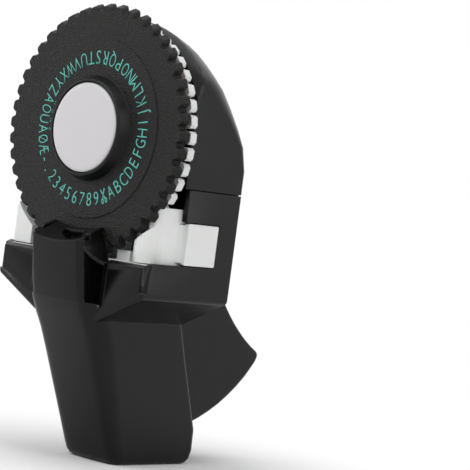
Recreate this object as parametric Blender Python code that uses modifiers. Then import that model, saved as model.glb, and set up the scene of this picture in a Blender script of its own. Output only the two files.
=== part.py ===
"""Hand-held embossing label maker with a turning character dial and a squeeze trigger.

Metres, +Z up. +X is the right-hand side seen from the dial, and the dial faces -Y.
World origin: the middle of the flat underside of the grip, which stands on z = 0.
Every piece is drawn about the dial's own centre, the datum, which hangs at RIM_Y, AXIS_Z.
"""
import bpy
import bmesh
import math
from mathutils import Matrix, Vector

MM = 0.001
DEG = math.pi / 180.0

# General clearances and finishes
GAP = 0.3 * MM
OVERRUN = 6.0 * MM
MERGE = 0.005 * MM
FLAT_ANGLE = 0.05 * DEG
WALL = 1.8 * MM
FILLET = 0.7 * MM
ROUND_STEPS = 48
FINE_STEPS = 88
SMALL_STEPS = 24

# How far the dial hangs in front of the middle of the grip's underside
RIM_Y = -28.4 * MM

# Character dial, measured from the widest plane of its rim
POSITIONS = 44
DIAL_R = 34.8 * MM
RIM_DRAFT = 1.1 * MM
SCALLOP_DEPTH = 1.5 * MM
RIM_T = 1.1 * MM
DIAL_TURN = 1.1 * DEG
FACE_RISE = 1.2 * MM
RING_R = 24.8 * MM
RING_RISE = 1.4 * MM
RING_LAP = 1.0 * MM
HUB_FOOT_R = 14.6 * MM
HUB_R = 13.4 * MM
HUB_RISE = 4.5 * MM
CAP_R = 12.3 * MM
CAP_T = 1.7 * MM
CAP_PROUD = 0.5 * MM
CAP_CROWN = 0.35 * MM
WELL_R = 8.0 * MM
WELL_FLOOR = 0.4 * MM
SCALLOP_SHARES = ((-0.40, 1.0), (-0.28, 0.25), (-0.18, 0.0), (0.18, 0.0), (0.28, 0.25), (0.40, 1.0))

# Centre bearing
AXLE_R = 3.0 * MM
AXLE_BORE_R = 1.9 * MM
AXLE_FLANGE_R = 6.0 * MM
AXLE_FLANGE_T = 1.4 * MM
BUSH_T = 1.2 * MM
WASHER_T = 0.5 * MM
WASHER_R = 6.2 * MM
SCREW_R = 1.5 * MM
SCREW_HEAD_R = 3.1 * MM
SCREW_HEAD_T = 1.6 * MM
SCREW_L = 8.0 * MM

# Finger wheels behind the dial
PUNCH_IN = 4.3 * MM
PUNCH_T = 2.6 * MM
PUNCH_SLOT_R = 17.0 * MM
TAPE_GAP = 0.6 * MM
DIE_IN = 3.0 * MM
DIE_T = 2.4 * MM
DIE_SLOT_R = 20.0 * MM
SLOT_W = 0.9 * MM
TIP_CORNER = 0.7 * MM
BLADE_T = 0.3 * MM
BLADE_LOW_R = 21.5 * MM
BLADE_POSITION = 1

# Chassis behind the wheels
WHEEL_CLEAR = 1.0 * MM
PLATE_T = 1.4 * MM
PLATE_IN = 4.5 * MM
PLATE_WAIST = 2.5 * MM
PLATE_WAIST_Z = -8.0 * MM
BOSS_R = 7.5 * MM
SHELF_CLEAR = 1.2 * MM
SHELF_T = 1.5 * MM
SHELF_FRONT = -0.9 * MM
GUIDE_IN = 20.0 * MM
GUIDE_TOP_RISE = 16.0 * MM
GUIDE_FRONT = -0.4 * MM
GUIDE_BACK = 12.1 * MM
EXIT_BACK = 10.6 * MM
GUIDE_STEP = 4.4 * MM
GUIDE_SLANT = 3.0 * MM
GUIDE_EASE = 1.4 * MM
RIM_CLEAR = 0.5 * MM
FLAG_FRONT = 11.3 * MM
FLAG_BACK = 23.4 * MM
FLAG_TOP_RISE = 12.5 * MM
FLAG_T = 1.5 * MM
FLAG_RAMP = 2.2 * MM
FLAG_WEB_IN = 0.6 * MM
FLAG_CORNER = 0.5 * MM
STRIPPER_IN = 12.0 * MM
STRIPPER_OUT = 17.0 * MM
STRIPPER_FRONT = 2.6 * MM
STRIPPER_BACK = 5.0 * MM
STRIPPER_RISE = 2.8 * MM
POST_R = 8.5 * MM
POST_WALL = 1.4 * MM
POST_L = 15.0 * MM
SCREW_X = 22.5 * MM

# Housing, in front view half widths and heights
BODY_HALF = 29.0 * MM
BODY_FRONT = -3.0 * MM
BODY_BACK = 31.4 * MM
BODY_FILLET = 1.0 * MM
SPLIT_Z = -13.0 * MM
LIP_H = 1.5 * MM
LIP_IN = 0.8 * MM
FRONT_WALL_DROP = 1.0 * MM
SIDE_WALL_RISE = 0.5 * MM
SIDE_DROP = 3.2 * MM
CHEEK_FRONT = 10.4 * MM
HOUSING_DEPTH = 9.0 * MM
FACET_DROP = 8.4 * MM
FACET_HALF = 12.4 * MM
GROOVE_IN = 10.2 * MM
GROOVE_OUT = 13.9 * MM
GROOVE_DEPTH = 3.4 * MM
GROOVE_DROP = 3.7 * MM
GUSSET_OUT = 14.5 * MM
GUSSET_FRONT = -8.8 * MM
GUSSET_DROP = 1.7 * MM
GUSSET_STEPS = 5
GUSSET_HOLLOW_SHARE = 0.34
CORNER_W = 1.5 * MM
CORNER_DEPTH = 1.6 * MM
CORNER_RISE = 1.5 * MM

# Grip sections from the groove's end down: share of the way, front half width and y, side half width and y, back y
GRIP_SHARES = (0.002, 0.040, 0.107, 0.196, 0.330, 0.509, 0.777, 0.911, 0.966, 0.993, 1.0)
GRIP_SECTIONS = (
    (10.2 * MM, -6.60 * MM, 13.6 * MM, -2.2 * MM, 30.9 * MM),
    (10.2 * MM, -5.85 * MM, 13.6 * MM, -1.7 * MM, 30.9 * MM),
    (10.2 * MM, -4.35 * MM, 13.5 * MM, -0.2 * MM, 31.2 * MM),
    (10.2 * MM, -2.05 * MM, 13.1 * MM, 2.4 * MM, 33.0 * MM),
    (10.1 * MM, 0.75 * MM, 12.6 * MM, 5.0 * MM, 35.6 * MM),
    (10.0 * MM, 4.30 * MM, 12.0 * MM, 8.2 * MM, 39.2 * MM),
    (9.6 * MM, 9.50 * MM, 11.0 * MM, 12.6 * MM, 44.6 * MM),
    (9.4 * MM, 12.05 * MM, 10.6 * MM, 14.8 * MM, 45.2 * MM),
    (9.1 * MM, 13.10 * MM, 10.3 * MM, 15.6 * MM, 44.7 * MM),
    (8.6 * MM, 14.00 * MM, 9.8 * MM, 16.4 * MM, 43.8 * MM),
    (8.0 * MM, 14.80 * MM, 9.2 * MM, 17.0 * MM, 43.1 * MM),
)
GRIP_CROWN = 0.5 * MM
GRIP_EDGE = 1.8 * MM
GRIP_FLOOR_T = 5.6 * MM

# Press column in front of the dial, from the groove's end up: share of the way, front y
COLUMN_SHARES = (0.008, 0.06, 0.19, 0.41, 0.69, 1.0)
COLUMN_FRONTS = (-6.75 * MM, -6.95 * MM, -7.75 * MM, -8.75 * MM, -9.9 * MM, -11.2 * MM)
COLUMN_HEAD_RISE = 9.8 * MM
COLUMN_TOP_FRONT_RISE = 4.6 * MM
COLUMN_TOP_BACK_RISE = 8.6 * MM
COLUMN_WALL = 1.5 * MM
COLUMN_DIP = 1.1 * MM
SCOOP_ROOM = 2.2 * MM
SCOOP_DIP = 1.0 * MM
ANVIL_HALF = 3.6 * MM
ANVIL_TOP_RISE = 4.2 * MM
PILLAR_BACK = -2.4 * MM

# Trigger, a fan about its pivot pin
PIVOT_Y = 25.0 * MM
PIVOT_RISE = 7.8 * MM
PIN_R = 1.5 * MM
FAN_R = 56.8 * MM
FAN_TIP = -35.3 * DEG
FAN_FRONT = -88.4 * DEG
FAN_HALF = 8.6 * MM
FAN_WALL = 1.6 * MM
FAN_TOP_Y = 47.8 * MM
FAN_TOP_DROP = 2.8 * MM
FAN_BULGE = 2.4 * MM
FAN_CLEAR = 2.6 * MM
TIP_EASE = 4.0 * MM
SHOULDER_Y = 31.3 * MM
SHOULDER_RISE = 0.6 * MM
FAN_STEPS = 12
LEVER_HALF = 5.0 * MM
HUB_PIVOT_R = 3.5 * MM
LEVER_FRONT_Y = 21.3 * MM
CHANNEL_HALF = 9.0 * MM
CHANNEL_FRONT = 2.0 * MM
CHANNEL_KNEE_DROP = 24.2 * MM
CHANNEL_FLOOR_Y = 13.4 * MM
EAR_T = 2.0 * MM
EAR_FRONT = 20.6 * MM
EAR_TOP_RISE = 12.0 * MM
PIN_CLEAR = 0.25 * MM
SLOT_TOP_RISE = 5.6 * MM

# Plunger that presses the chosen finger
PLUNGER_HALF = 2.6 * MM
PLUNGER_NOSE = 9.9 * MM
PLUNGER_LOW_RISE = 4.2 * MM
PLUNGER_HIGH_RISE = 11.8 * MM
PLUNGER_ARM = 12.4 * MM
PLUNGER_ARM_T = 2.6 * MM
FOOT_LOW_DROP = 4.4 * MM
FOOT_HIGH_DROP = 2.1 * MM
FOOT_BACK = 21.0 * MM

# Feed roller, its shaft and ratchet
FEED_X = 15.4 * MM
FEED_Y = 8.0 * MM
FEED_R = 2.6 * MM
FEED_LIFT = 0.5 * MM
FEED_SHAFT_R = 1.0 * MM
RATCHET_R = 3.6 * MM
RATCHET_ROOT_R = 2.9 * MM
RATCHET_TEETH = 12
RATCHET_T = 1.2 * MM
RATCHET_DROP = 0.9 * MM

# Tape cover, a hood over the rear
HOOD_R = 32.2 * MM
HOOD_FRONT = 8.4 * MM
HOOD_BACK = 31.7 * MM
HOOD_WALL = 2.0 * MM
HOOD_CORNER = 1.6 * MM
HOOD_BLEND_LOW = -6.0 * MM
HOOD_BLEND_HIGH = 24.0 * MM
MOUTH_IN = 1.6 * MM
MOUTH_DEPTH = 4.0 * MM
MOUTH_LOW = -5.0 * MM
CORNER_STEPS = 8
HINGE_OUT = 1.4 * MM

# The hood's rear from the axis up: share of its radius, share of its depth
HOOD_SHARES = (
    (-0.2, 1.0), (0.0, 0.990), (0.155, 0.970), (0.311, 0.945), (0.466, 0.907), (0.559, 0.873), (0.652, 0.809),
    (0.745, 0.699), (0.807, 0.568), (0.870, 0.373), (0.907, 0.246), (0.938, 0.153), (0.963, 0.093), (0.984, 0.051),
)
MOUTH_SHARES = ((0.0, 0.0), (0.43, 0.2), (0.75, 0.42), (0.95, 0.68), (1.3, 1.0))
ROUND_SHARE = 0.96
KNUCKLE_R = 1.7 * MM
KNUCKLE_IN = 9.0 * MM
KNUCKLE_L = 6.0 * MM
HINGE_PIN_R = 0.8 * MM

# Places that follow the dial, its lowest point, the trigger's fan and the housing's width
DIE_R = DIAL_R - DIE_IN
PUNCH_R = DIAL_R - PUNCH_IN
BLADE_HIGH_R = PUNCH_R - GAP
LOWEST = -DIAL_R
COLUMN_HEAD = LOWEST + COLUMN_HEAD_RISE
COLUMN_TOP_FRONT = LOWEST + COLUMN_TOP_FRONT_RISE
COLUMN_TOP_BACK = LOWEST + COLUMN_TOP_BACK_RISE
ANVIL_TOP = LOWEST + ANVIL_TOP_RISE
GUIDE_TOP = LOWEST + GUIDE_TOP_RISE
FLAG_TOP = LOWEST + FLAG_TOP_RISE
PIVOT_Z = LOWEST + PIVOT_RISE
FAN_TOP_Z = LOWEST - FAN_TOP_DROP
SHOULDER_Z = LOWEST + SHOULDER_RISE
CHANNEL_KNEE = LOWEST - CHANNEL_KNEE_DROP
EAR_TOP = LOWEST + EAR_TOP_RISE
SLOT_TOP = LOWEST + SLOT_TOP_RISE
PLUNGER_LOW = LOWEST + PLUNGER_LOW_RISE
PLUNGER_HIGH = LOWEST + PLUNGER_HIGH_RISE
FOOT_LOW = LOWEST - FOOT_LOW_DROP
FOOT_HIGH = LOWEST - FOOT_HIGH_DROP
SHELF_TOP = -math.sqrt(DIAL_R ** 2 - GROOVE_IN ** 2) - SHELF_CLEAR
SHELF_SEAT = SHELF_TOP - SHELF_T - GAP
FRONT_WALL_TOP = SHELF_TOP - FRONT_WALL_DROP
SIDE_WALL_TOP = SHELF_TOP + SIDE_WALL_RISE
BODY_BOTTOM = SHELF_TOP - HOUSING_DEPTH
FACET_BOTTOM = BODY_BOTTOM - FACET_DROP
GROOVE_BOTTOM = BODY_BOTTOM - GROOVE_DROP
CORNER_BOTTOM = BODY_BOTTOM + CORNER_RISE
SCOOP_FLOOR = LOWEST - SCOOP_ROOM
CHANNEL_FLOOR = PIVOT_Z - FAN_R - FAN_CLEAR
GRIP_BOTTOM = CHANNEL_FLOOR - GRIP_FLOOR_T
AXIS_Z = -GRIP_BOTTOM
FEED_LOW = SHELF_TOP + FEED_LIFT
FEED_HIGH = -math.sqrt(DIE_R ** 2 - (FEED_X - FEED_R) ** 2) - GAP
RATCHET_TOP = SHELF_SEAT - RATCHET_DROP
PLATE_R = BODY_HALF - PLATE_IN
COLUMN_BACK = -FACE_RISE - GAP


def clear_scene():
    for obj in list(bpy.data.objects):
        bpy.data.objects.remove(obj, do_unlink=True)


def new_collection(name):
    collection = bpy.data.collections.new(name)
    bpy.context.scene.collection.children.link(collection)
    return collection


clear_scene()
PARTS = new_collection("embossing_label_maker")
CUTTERS = new_collection("cutters")


def new_empty(name, x, y, z, parent=None):
    empty = bpy.data.objects.new(name, None)
    PARTS.objects.link(empty)
    empty.empty_display_size = OVERRUN
    empty.parent = parent
    offset = Vector((0.0, 0.0, 0.0)) if parent is None else Vector(parent["from_datum"])
    if parent is None:
        empty.location = (x, y, z)
        empty["from_datum"] = (0.0, 0.0, 0.0)
    else:
        empty.location = Vector((x, y, z)) - offset
        empty["from_datum"] = (x, y, z)
    return empty


DATUM = new_empty("datum", 0.0, RIM_Y, AXIS_Z)


def new_material(name, colour, roughness, metallic=0.0):
    material = bpy.data.materials.new(name)
    material.use_nodes = True
    shader = material.node_tree.nodes["Principled BSDF"]
    shader.inputs["Base Color"].default_value = (*colour, 1.0)
    shader.inputs["Roughness"].default_value = roughness
    shader.inputs["Metallic"].default_value = metallic
    material.diffuse_color = (*colour, 1.0)
    return material


BLACK_GLOSS = new_material("black_gloss_abs", (0.012, 0.012, 0.013), 0.22)
BLACK_GRAIN = new_material("black_grained_abs", (0.018, 0.018, 0.019), 0.5)
WHITE_ACETAL = new_material("white_acetal", (0.82, 0.82, 0.8), 0.4)
GREY_CAP = new_material("light_grey_abs", (0.66, 0.65, 0.66), 0.35)
STEEL = new_material("zinc_plated_steel", (0.6, 0.6, 0.6), 0.3, 1.0)
SPRING_STEEL = new_material("spring_steel", (0.45, 0.46, 0.48), 0.28, 1.0)
BRASS = new_material("brass", (0.72, 0.55, 0.25), 0.3, 1.0)
GREY_RUBBER = new_material("grey_rubber", (0.32, 0.32, 0.32), 0.75)


def add_part(name, mesh, material):
    """Hang a mesh drawn about the dial's centre in the parts collection."""
    obj = bpy.data.objects.new(name, mesh)
    PARTS.objects.link(obj)
    obj.parent = DATUM
    if material is not None:
        obj.data.materials.append(material)
    return obj


def hang_on(obj, empty):
    """Carry a piece on the empty of its joint without moving it."""
    obj.parent = empty
    obj.location = obj.location - Vector(empty["from_datum"])
    return obj


def as_cutter(obj):
    PARTS.objects.unlink(obj)
    CUTTERS.objects.link(obj)
    obj.hide_render = True
    obj.display_type = "WIRE"
    return obj


def boolean(target, tool, operation):
    as_cutter(tool)
    modifier = target.modifiers.new(tool.name, "BOOLEAN")
    modifier.operation = operation
    modifier.solver = "EXACT"
    modifier.object = tool


def cut(target, tool):
    boolean(target, tool, "DIFFERENCE")


def join(target, tool):
    boolean(target, tool, "UNION")


def round_edges(obj, width, steps=2, angle=30.0):
    modifier = obj.modifiers.new("round_edges", "BEVEL")
    modifier.width = width
    modifier.segments = steps
    modifier.limit_method = "ANGLE"
    modifier.angle_limit = angle * DEG
    modifier.use_clamp_overlap = True
    modifier.harden_normals = False
    return modifier


def smooth(obj, angle=30.0):
    obj.data.shade_smooth()
    obj.data.set_sharp_from_angle(angle=angle * DEG)
    return obj


PLANES = {
    "XY": Matrix(((1.0, 0.0, 0.0), (0.0, 1.0, 0.0), (0.0, 0.0, 1.0))),
    "XZ": Matrix(((1.0, 0.0, 0.0), (0.0, 0.0, -1.0), (0.0, 1.0, 0.0))),
    "YZ": Matrix(((0.0, 0.0, 1.0), (1.0, 0.0, 0.0), (0.0, 1.0, 0.0))),
}
NORMALS = {"XY": Vector((0.0, 0.0, 1.0)), "XZ": Vector((0.0, 1.0, 0.0)), "YZ": Vector((1.0, 0.0, 0.0))}


def slab(name, plane, outlines, low, high, material=None):
    """A flat outline, with any holes, standing from low to high along the plane's normal."""
    curve = bpy.data.curves.new(name, "CURVE")
    curve.dimensions = "2D"
    curve.fill_mode = "BOTH"
    curve.extrude = (high - low) / 2.0
    for outline in outlines:
        spline = curve.splines.new("POLY")
        spline.points.add(len(outline) - 1)
        spline.use_cyclic_u = True
        for point, (u, v) in zip(spline.points, outline):
            point.co = (u, v, 0.0, 1.0)
    blank = bpy.data.objects.new(name + "_outline", curve)
    PARTS.objects.link(blank)
    bpy.context.view_layer.update()
    graph = bpy.context.evaluated_depsgraph_get()
    mesh = bpy.data.meshes.new_from_object(blank.evaluated_get(graph))
    bpy.data.objects.remove(blank, do_unlink=True)
    bpy.data.curves.remove(curve)
    body = bmesh.new()
    body.from_mesh(mesh)
    bmesh.ops.remove_doubles(body, verts=body.verts, dist=MERGE)
    bmesh.ops.dissolve_limit(body, angle_limit=FLAT_ANGLE, verts=body.verts, edges=body.edges)
    bmesh.ops.transform(body, matrix=PLANES[plane].to_4x4(), verts=body.verts)
    bmesh.ops.translate(body, vec=NORMALS[plane] * (low + high) / 2.0, verts=body.verts)
    bmesh.ops.recalc_face_normals(body, faces=body.faces)
    body.to_mesh(mesh)
    body.free()
    mesh.name = name
    mesh.materials.clear()
    return add_part(name, mesh, material)


def box(name, low, high, material=None):
    """A box between two opposite corners."""
    low, high = Vector(low), Vector(high)
    body = bmesh.new()
    bmesh.ops.create_cube(body, size=1.0)
    size = high - low
    bmesh.ops.scale(body, vec=size, verts=body.verts)
    bmesh.ops.translate(body, vec=(low + high) / 2.0, verts=body.verts)
    mesh = bpy.data.meshes.new(name)
    body.to_mesh(mesh)
    body.free()
    return add_part(name, mesh, material)


AXES = {"X": (0.0, math.pi / 2.0, 0.0), "Y": (-math.pi / 2.0, 0.0, 0.0), "Z": (0.0, 0.0, 0.0)}


def turned(name, axis, centre, profile, steps, material=None, closed=False):
    """A profile of radius and height, outer side from high to low, turned about an axis."""
    mesh = bpy.data.meshes.new(name)
    vertices = [(radius, 0.0, height) for radius, height in profile]
    edges = [(i, i + 1) for i in range(len(profile) - 1)]
    if closed:
        edges.append((len(profile) - 1, 0))
    mesh.from_pydata(vertices, edges, [])
    obj = add_part(name, mesh, material)
    obj.location = centre
    obj.rotation_euler = AXES[axis]
    screw = obj.modifiers.new("turn", "SCREW")
    screw.axis = "Z"
    screw.steps = steps
    screw.render_steps = steps
    screw.use_merge_vertices = True
    screw.merge_threshold = MERGE
    screw.use_smooth_shade = True
    return obj


def rod(name, axis, centre, radius, low, high, steps, material=None):
    """A round rod between two heights along an axis."""
    body = bmesh.new()
    bmesh.ops.create_cone(body, cap_ends=True, segments=steps, radius1=radius, radius2=radius, depth=high - low)
    bmesh.ops.translate(body, vec=(0.0, 0.0, (low + high) / 2.0), verts=body.verts)
    mesh = bpy.data.meshes.new(name)
    body.to_mesh(mesh)
    body.free()
    obj = add_part(name, mesh, material)
    obj.location = centre
    obj.rotation_euler = AXES[axis]
    return smooth(obj)


def tube(name, axis, centre, outer, inner, low, high, steps, material=None):
    profile = [(inner, high), (outer, high), (outer, low), (inner, low)]
    return turned(name, axis, centre, profile, steps, material, closed=True)


def loft(name, rings, material=None):
    """A closed skin over rings of equal point counts, capped at both ends."""
    body = bmesh.new()
    rows = [[body.verts.new(point) for point in ring] for ring in rings]
    for lower, upper in zip(rows, rows[1:]):
        for i in range(len(lower)):
            j = (i + 1) % len(lower)
            body.faces.new((lower[i], lower[j], upper[j], upper[i]))
    bmesh.ops.triangulate(body, faces=body.faces)
    body.faces.new(rows[0])
    body.faces.new(rows[-1])
    bmesh.ops.recalc_face_normals(body, faces=body.faces)
    mesh = bpy.data.meshes.new(name)
    body.to_mesh(mesh)
    body.free()
    return add_part(name, mesh, material)


def arc(centre, radius, start, end, steps):
    """Points along an arc, both ends included."""
    points = []
    for i in range(steps + 1):
        angle = start + (end - start) * i / steps
        points.append((centre[0] + radius * math.cos(angle), centre[1] + radius * math.sin(angle)))
    return points


def bowed(start, end, bulge, steps):
    """Points of a circular arc between two points, bulging to the left by the given amount."""
    (x0, y0), (x1, y1) = start, end
    chord = math.hypot(x1 - x0, y1 - y0)
    radius = chord * chord / (8.0 * abs(bulge)) + abs(bulge) / 2.0
    side = 1.0 if bulge > 0.0 else -1.0
    normal = (-(y1 - y0) / chord * side, (x1 - x0) / chord * side)
    middle = ((x0 + x1) / 2.0, (y0 + y1) / 2.0)
    reach = radius - abs(bulge)
    centre = (middle[0] - normal[0] * reach, middle[1] - normal[1] * reach)
    first = math.atan2(y0 - centre[1], x0 - centre[0])
    last = math.atan2(y1 - centre[1], x1 - centre[0])
    if last - first > math.pi:
        last -= 2.0 * math.pi
    if first - last > math.pi:
        last += 2.0 * math.pi
    return arc(centre, radius, first, last, steps)


def softened(points, reach, steps, closed=False):
    """The outline with each corner drawn as a short curve, kept within half of its sides."""
    count = len(points)
    rounded = [] if closed else [points[0]]
    for i in range(count) if closed else range(1, count - 1):
        corner = Vector(points[i])
        before = Vector(points[i - 1]) - corner
        after = Vector(points[(i + 1) % count]) - corner
        start = corner + before * min(reach / before.length, 0.45)
        end = corner + after * min(reach / after.length, 0.45)
        for step in range(steps + 1):
            share = step / steps
            point = start * (1.0 - share) ** 2 + corner * (2.0 * share * (1.0 - share)) + end * share ** 2
            rounded.append((point.x, point.y))
    return rounded if closed else rounded + [points[-1]]


def mirrored(points):
    """Right-hand points from top to bottom, followed by their mirror from bottom to top."""
    return list(points) + [(-x, z) for x, z in reversed(points)]


# Character dial
PUNCH_Y = RIM_T + GAP
DIE_Y = PUNCH_Y + PUNCH_T + TAPE_GAP
PLATE_Y = DIE_Y + DIE_T + WHEEL_CLEAR
PLATE_BACK = PLATE_Y + PLATE_T
BUSH_R = AXLE_R + GAP + BUSH_T
PITCH = 2.0 * math.pi / POSITIONS

DIAL_AXIS = new_empty("dial_axis", 0.0, 0.0, 0.0, DATUM)
TRIGGER_AXIS = new_empty("trigger_axis", 0.0, PIVOT_Y, PIVOT_Z, DATUM)
COVER_AXIS = new_empty("cover_axis", 0.0, BODY_BACK + HINGE_OUT, SPLIT_Z, DATUM)
PLUNGER_LINE = new_empty("plunger_line", 0.0, PLUNGER_NOSE, (PLUNGER_LOW + PLUNGER_HIGH) / 2.0, DATUM)
FEED_AXIS = new_empty("feed_axis", FEED_X, FEED_Y, FEED_LOW, DATUM)


def polar(radius, angle):
    return (radius * math.cos(angle), radius * math.sin(angle))


def scalloped_ring(tip_r, y):
    """Rounded teeth all round the rim, one to a character."""
    points = []
    for position in range(POSITIONS):
        for share, depth_share in SCALLOP_SHARES:
            angle = DIAL_TURN + (position + share) * PITCH
            x, z = polar(tip_r - SCALLOP_DEPTH * depth_share, angle)
            points.append((x, y, z))
    return points


def build_dial_knob():
    knob = loft("dial_knob", [scalloped_ring(DIAL_R - RIM_DRAFT, -FACE_RISE), scalloped_ring(DIAL_R, RIM_T)],
                BLACK_GRAIN)
    cut(knob, rod("dial_middle", "Y", (0.0, 0.0, 0.0), RING_R - RING_LAP, -OVERRUN, OVERRUN, FINE_STEPS))
    seat = -HUB_RISE + CAP_T - CAP_PROUD + GAP
    join(knob, turned("dial_face", "Y", (0.0, 0.0, 0.0), [
        (RING_R, RIM_T - GAP), (RING_R, -RING_RISE), (HUB_FOOT_R, -RING_RISE), (HUB_R, -HUB_RISE + GAP),
        (HUB_R - GAP, -HUB_RISE), (CAP_R + GAP, -HUB_RISE), (CAP_R + GAP, seat), (WELL_R, seat),
        (WELL_R, -WELL_FLOOR), (BUSH_R + GAP, -WELL_FLOOR), (BUSH_R + GAP, RIM_T - GAP),
    ], FINE_STEPS, closed=True))
    smooth(knob)
    hang_on(knob, DIAL_AXIS)
    back = -HUB_RISE + CAP_T - CAP_PROUD
    front = -HUB_RISE - CAP_PROUD
    cap = turned("hub_cap", "Y", (0.0, 0.0, 0.0), [
        (0.0, back), (CAP_R, back), (CAP_R, front + CAP_CROWN * 2.0), (CAP_R - CAP_CROWN, front + CAP_CROWN),
        (CAP_R - 3.0 * CAP_CROWN, front + CAP_CROWN / 2.0), (CAP_R / 2.0, front + CAP_CROWN / 8.0), (0.0, front),
    ], FINE_STEPS, GREY_CAP)
    hang_on(cap, DIAL_AXIS)


def build_bearing():
    """Screw, washer and bush that hold the dial on the chassis axle."""
    axle_front = -WELL_FLOOR
    hang_on(tube("hub_bush", "Y", (0.0, 0.0, 0.0), BUSH_R, AXLE_R + GAP, axle_front + GAP, DIE_Y + DIE_T,
                 ROUND_STEPS, BRASS), DIAL_AXIS)
    washer_back = axle_front - GAP
    tube("axle_washer", "Y", (0.0, 0.0, 0.0), WASHER_R, SCREW_R + GAP, washer_back - WASHER_T, washer_back,
         ROUND_STEPS, STEEL)
    head_back = washer_back - WASHER_T - GAP
    head_front = head_back - SCREW_HEAD_T
    turned("dial_screw", "Y", (0.0, 0.0, 0.0), [
        (0.0, SCREW_L), (SCREW_R, SCREW_L), (SCREW_R, head_back), (SCREW_HEAD_R, head_back),
        (SCREW_HEAD_R, head_front + GAP), (SCREW_HEAD_R - GAP, head_front), (0.0, head_front),
    ], SMALL_STEPS, STEEL)
    flange = PLATE_BACK + GAP
    turned("dial_axle", "Y", (0.0, 0.0, 0.0), [
        (AXLE_BORE_R, flange + AXLE_FLANGE_T), (AXLE_FLANGE_R, flange + AXLE_FLANGE_T), (AXLE_FLANGE_R, flange),
        (AXLE_R, flange), (AXLE_R, axle_front), (AXLE_BORE_R, axle_front),
    ], ROUND_STEPS, STEEL, closed=True)


def finger_outline(radius, slot_r, corner, turn):
    """A disc slit into one springy finger for each character."""
    points = []
    for position in range(POSITIONS):
        middle = turn + position * PITCH
        half_outer = PITCH / 2.0 - SLOT_W / 2.0 / radius
        half_inner = PITCH / 2.0 - SLOT_W / 2.0 / slot_r
        round_off = corner / radius
        points.append(polar(slot_r, middle - half_inner))
        points.append(polar(radius - corner, middle - half_outer))
        points.append(polar(radius, middle - half_outer + round_off))
        points.append(polar(radius, middle + half_outer - round_off))
        points.append(polar(radius - corner, middle + half_outer))
        points.append(polar(slot_r, middle + half_inner))
    return points


def build_finger_wheels():
    bore = arc((0.0, 0.0), BUSH_R + GAP, 0.0, 2.0 * math.pi * (SMALL_STEPS - 1) / SMALL_STEPS, SMALL_STEPS - 1)
    outline = finger_outline(PUNCH_R, PUNCH_SLOT_R, TIP_CORNER, DIAL_TURN)
    hang_on(slab("punch_wheel", "XZ", [outline, bore], PUNCH_Y, PUNCH_Y + PUNCH_T, BLACK_GRAIN), DIAL_AXIS)
    outline = finger_outline(DIE_R, DIE_SLOT_R, TIP_CORNER, DIAL_TURN)
    hang_on(slab("die_wheel", "XZ", [outline, bore], DIE_Y, DIE_Y + DIE_T, WHITE_ACETAL), DIAL_AXIS)
    blade = slab("cutter_blade", "XY", [[
        (BLADE_LOW_R, PUNCH_Y), (BLADE_HIGH_R, PUNCH_Y), (BLADE_HIGH_R, PUNCH_Y + PUNCH_T + GAP),
        (BLADE_LOW_R, PUNCH_Y + PUNCH_T + GAP / 2.0),
    ]], -BLADE_T / 2.0, BLADE_T / 2.0, SPRING_STEEL)
    slot_angle = -math.pi / 2.0 + DIAL_TURN + (BLADE_POSITION + 0.5) * PITCH
    blade.rotation_euler = (0.0, -slot_angle, 0.0)
    hang_on(blade, DIAL_AXIS)


def guide_block(name, side, back):
    """A white block that turns the tape round the wheels, low in front and high behind them."""
    outer = (BODY_HALF - WALL - GAP) * side
    inner = GUIDE_IN * side
    step = GUIDE_TOP - GUIDE_STEP
    profile = softened([
        (GUIDE_FRONT, SHELF_TOP + GAP), (GUIDE_FRONT, step), (GUIDE_FRONT + GUIDE_SLANT, GUIDE_TOP),
        (back, GUIDE_TOP), (back, SHELF_TOP + GAP),
    ], GUIDE_EASE, 3)
    return slab(name, "YZ", [profile], min(inner, outer), max(inner, outer), WHITE_ACETAL)


def clear_wheels(block):
    """Open a block for the dial's rim and the finger wheels."""
    cut(block, rod(block.name + "_rim", "Y", (0.0, 0.0, 0.0), DIAL_R + RIM_CLEAR,
                   -OVERRUN, RIM_T + RIM_CLEAR, FINE_STEPS))
    cut(block, rod(block.name + "_wheels", "Y", (0.0, 0.0, 0.0), DIE_R + RIM_CLEAR,
                   0.0, DIE_Y + DIE_T + RIM_CLEAR, FINE_STEPS))


def build_guides():
    right = guide_block("tape_guide", 1.0, GUIDE_BACK)
    low_z = SIDE_WALL_TOP + GAP
    join(right, slab("flag_plate", "YZ", [softened([
        (FLAG_FRONT, low_z), (FLAG_BACK, low_z), (FLAG_BACK, FLAG_TOP), (FLAG_FRONT, FLAG_TOP),
    ], FLAG_CORNER, 3, closed=True)], BODY_HALF - FLAG_T, BODY_HALF))
    web_x, web_y = GUIDE_IN + FLAG_T, FLAG_FRONT + FLAG_T
    join(right, slab("flag_ramp", "XY", [softened([
        (web_x, web_y - FLAG_T - FLAG_RAMP), (BODY_HALF - WALL - 2.0 * GAP, FLAG_FRONT - FLAG_RAMP),
        (BODY_HALF - FLAG_WEB_IN, FLAG_FRONT + FLAG_CORNER), (BODY_HALF - FLAG_WEB_IN, web_y), (web_x, web_y),
    ], FLAG_CORNER, 3, closed=True)], low_z + FLAG_CORNER, FLAG_TOP - FLAG_CORNER))
    clear_wheels(right)
    left = guide_block("exit_guide", -1.0, EXIT_BACK)
    clear_wheels(left)


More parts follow.
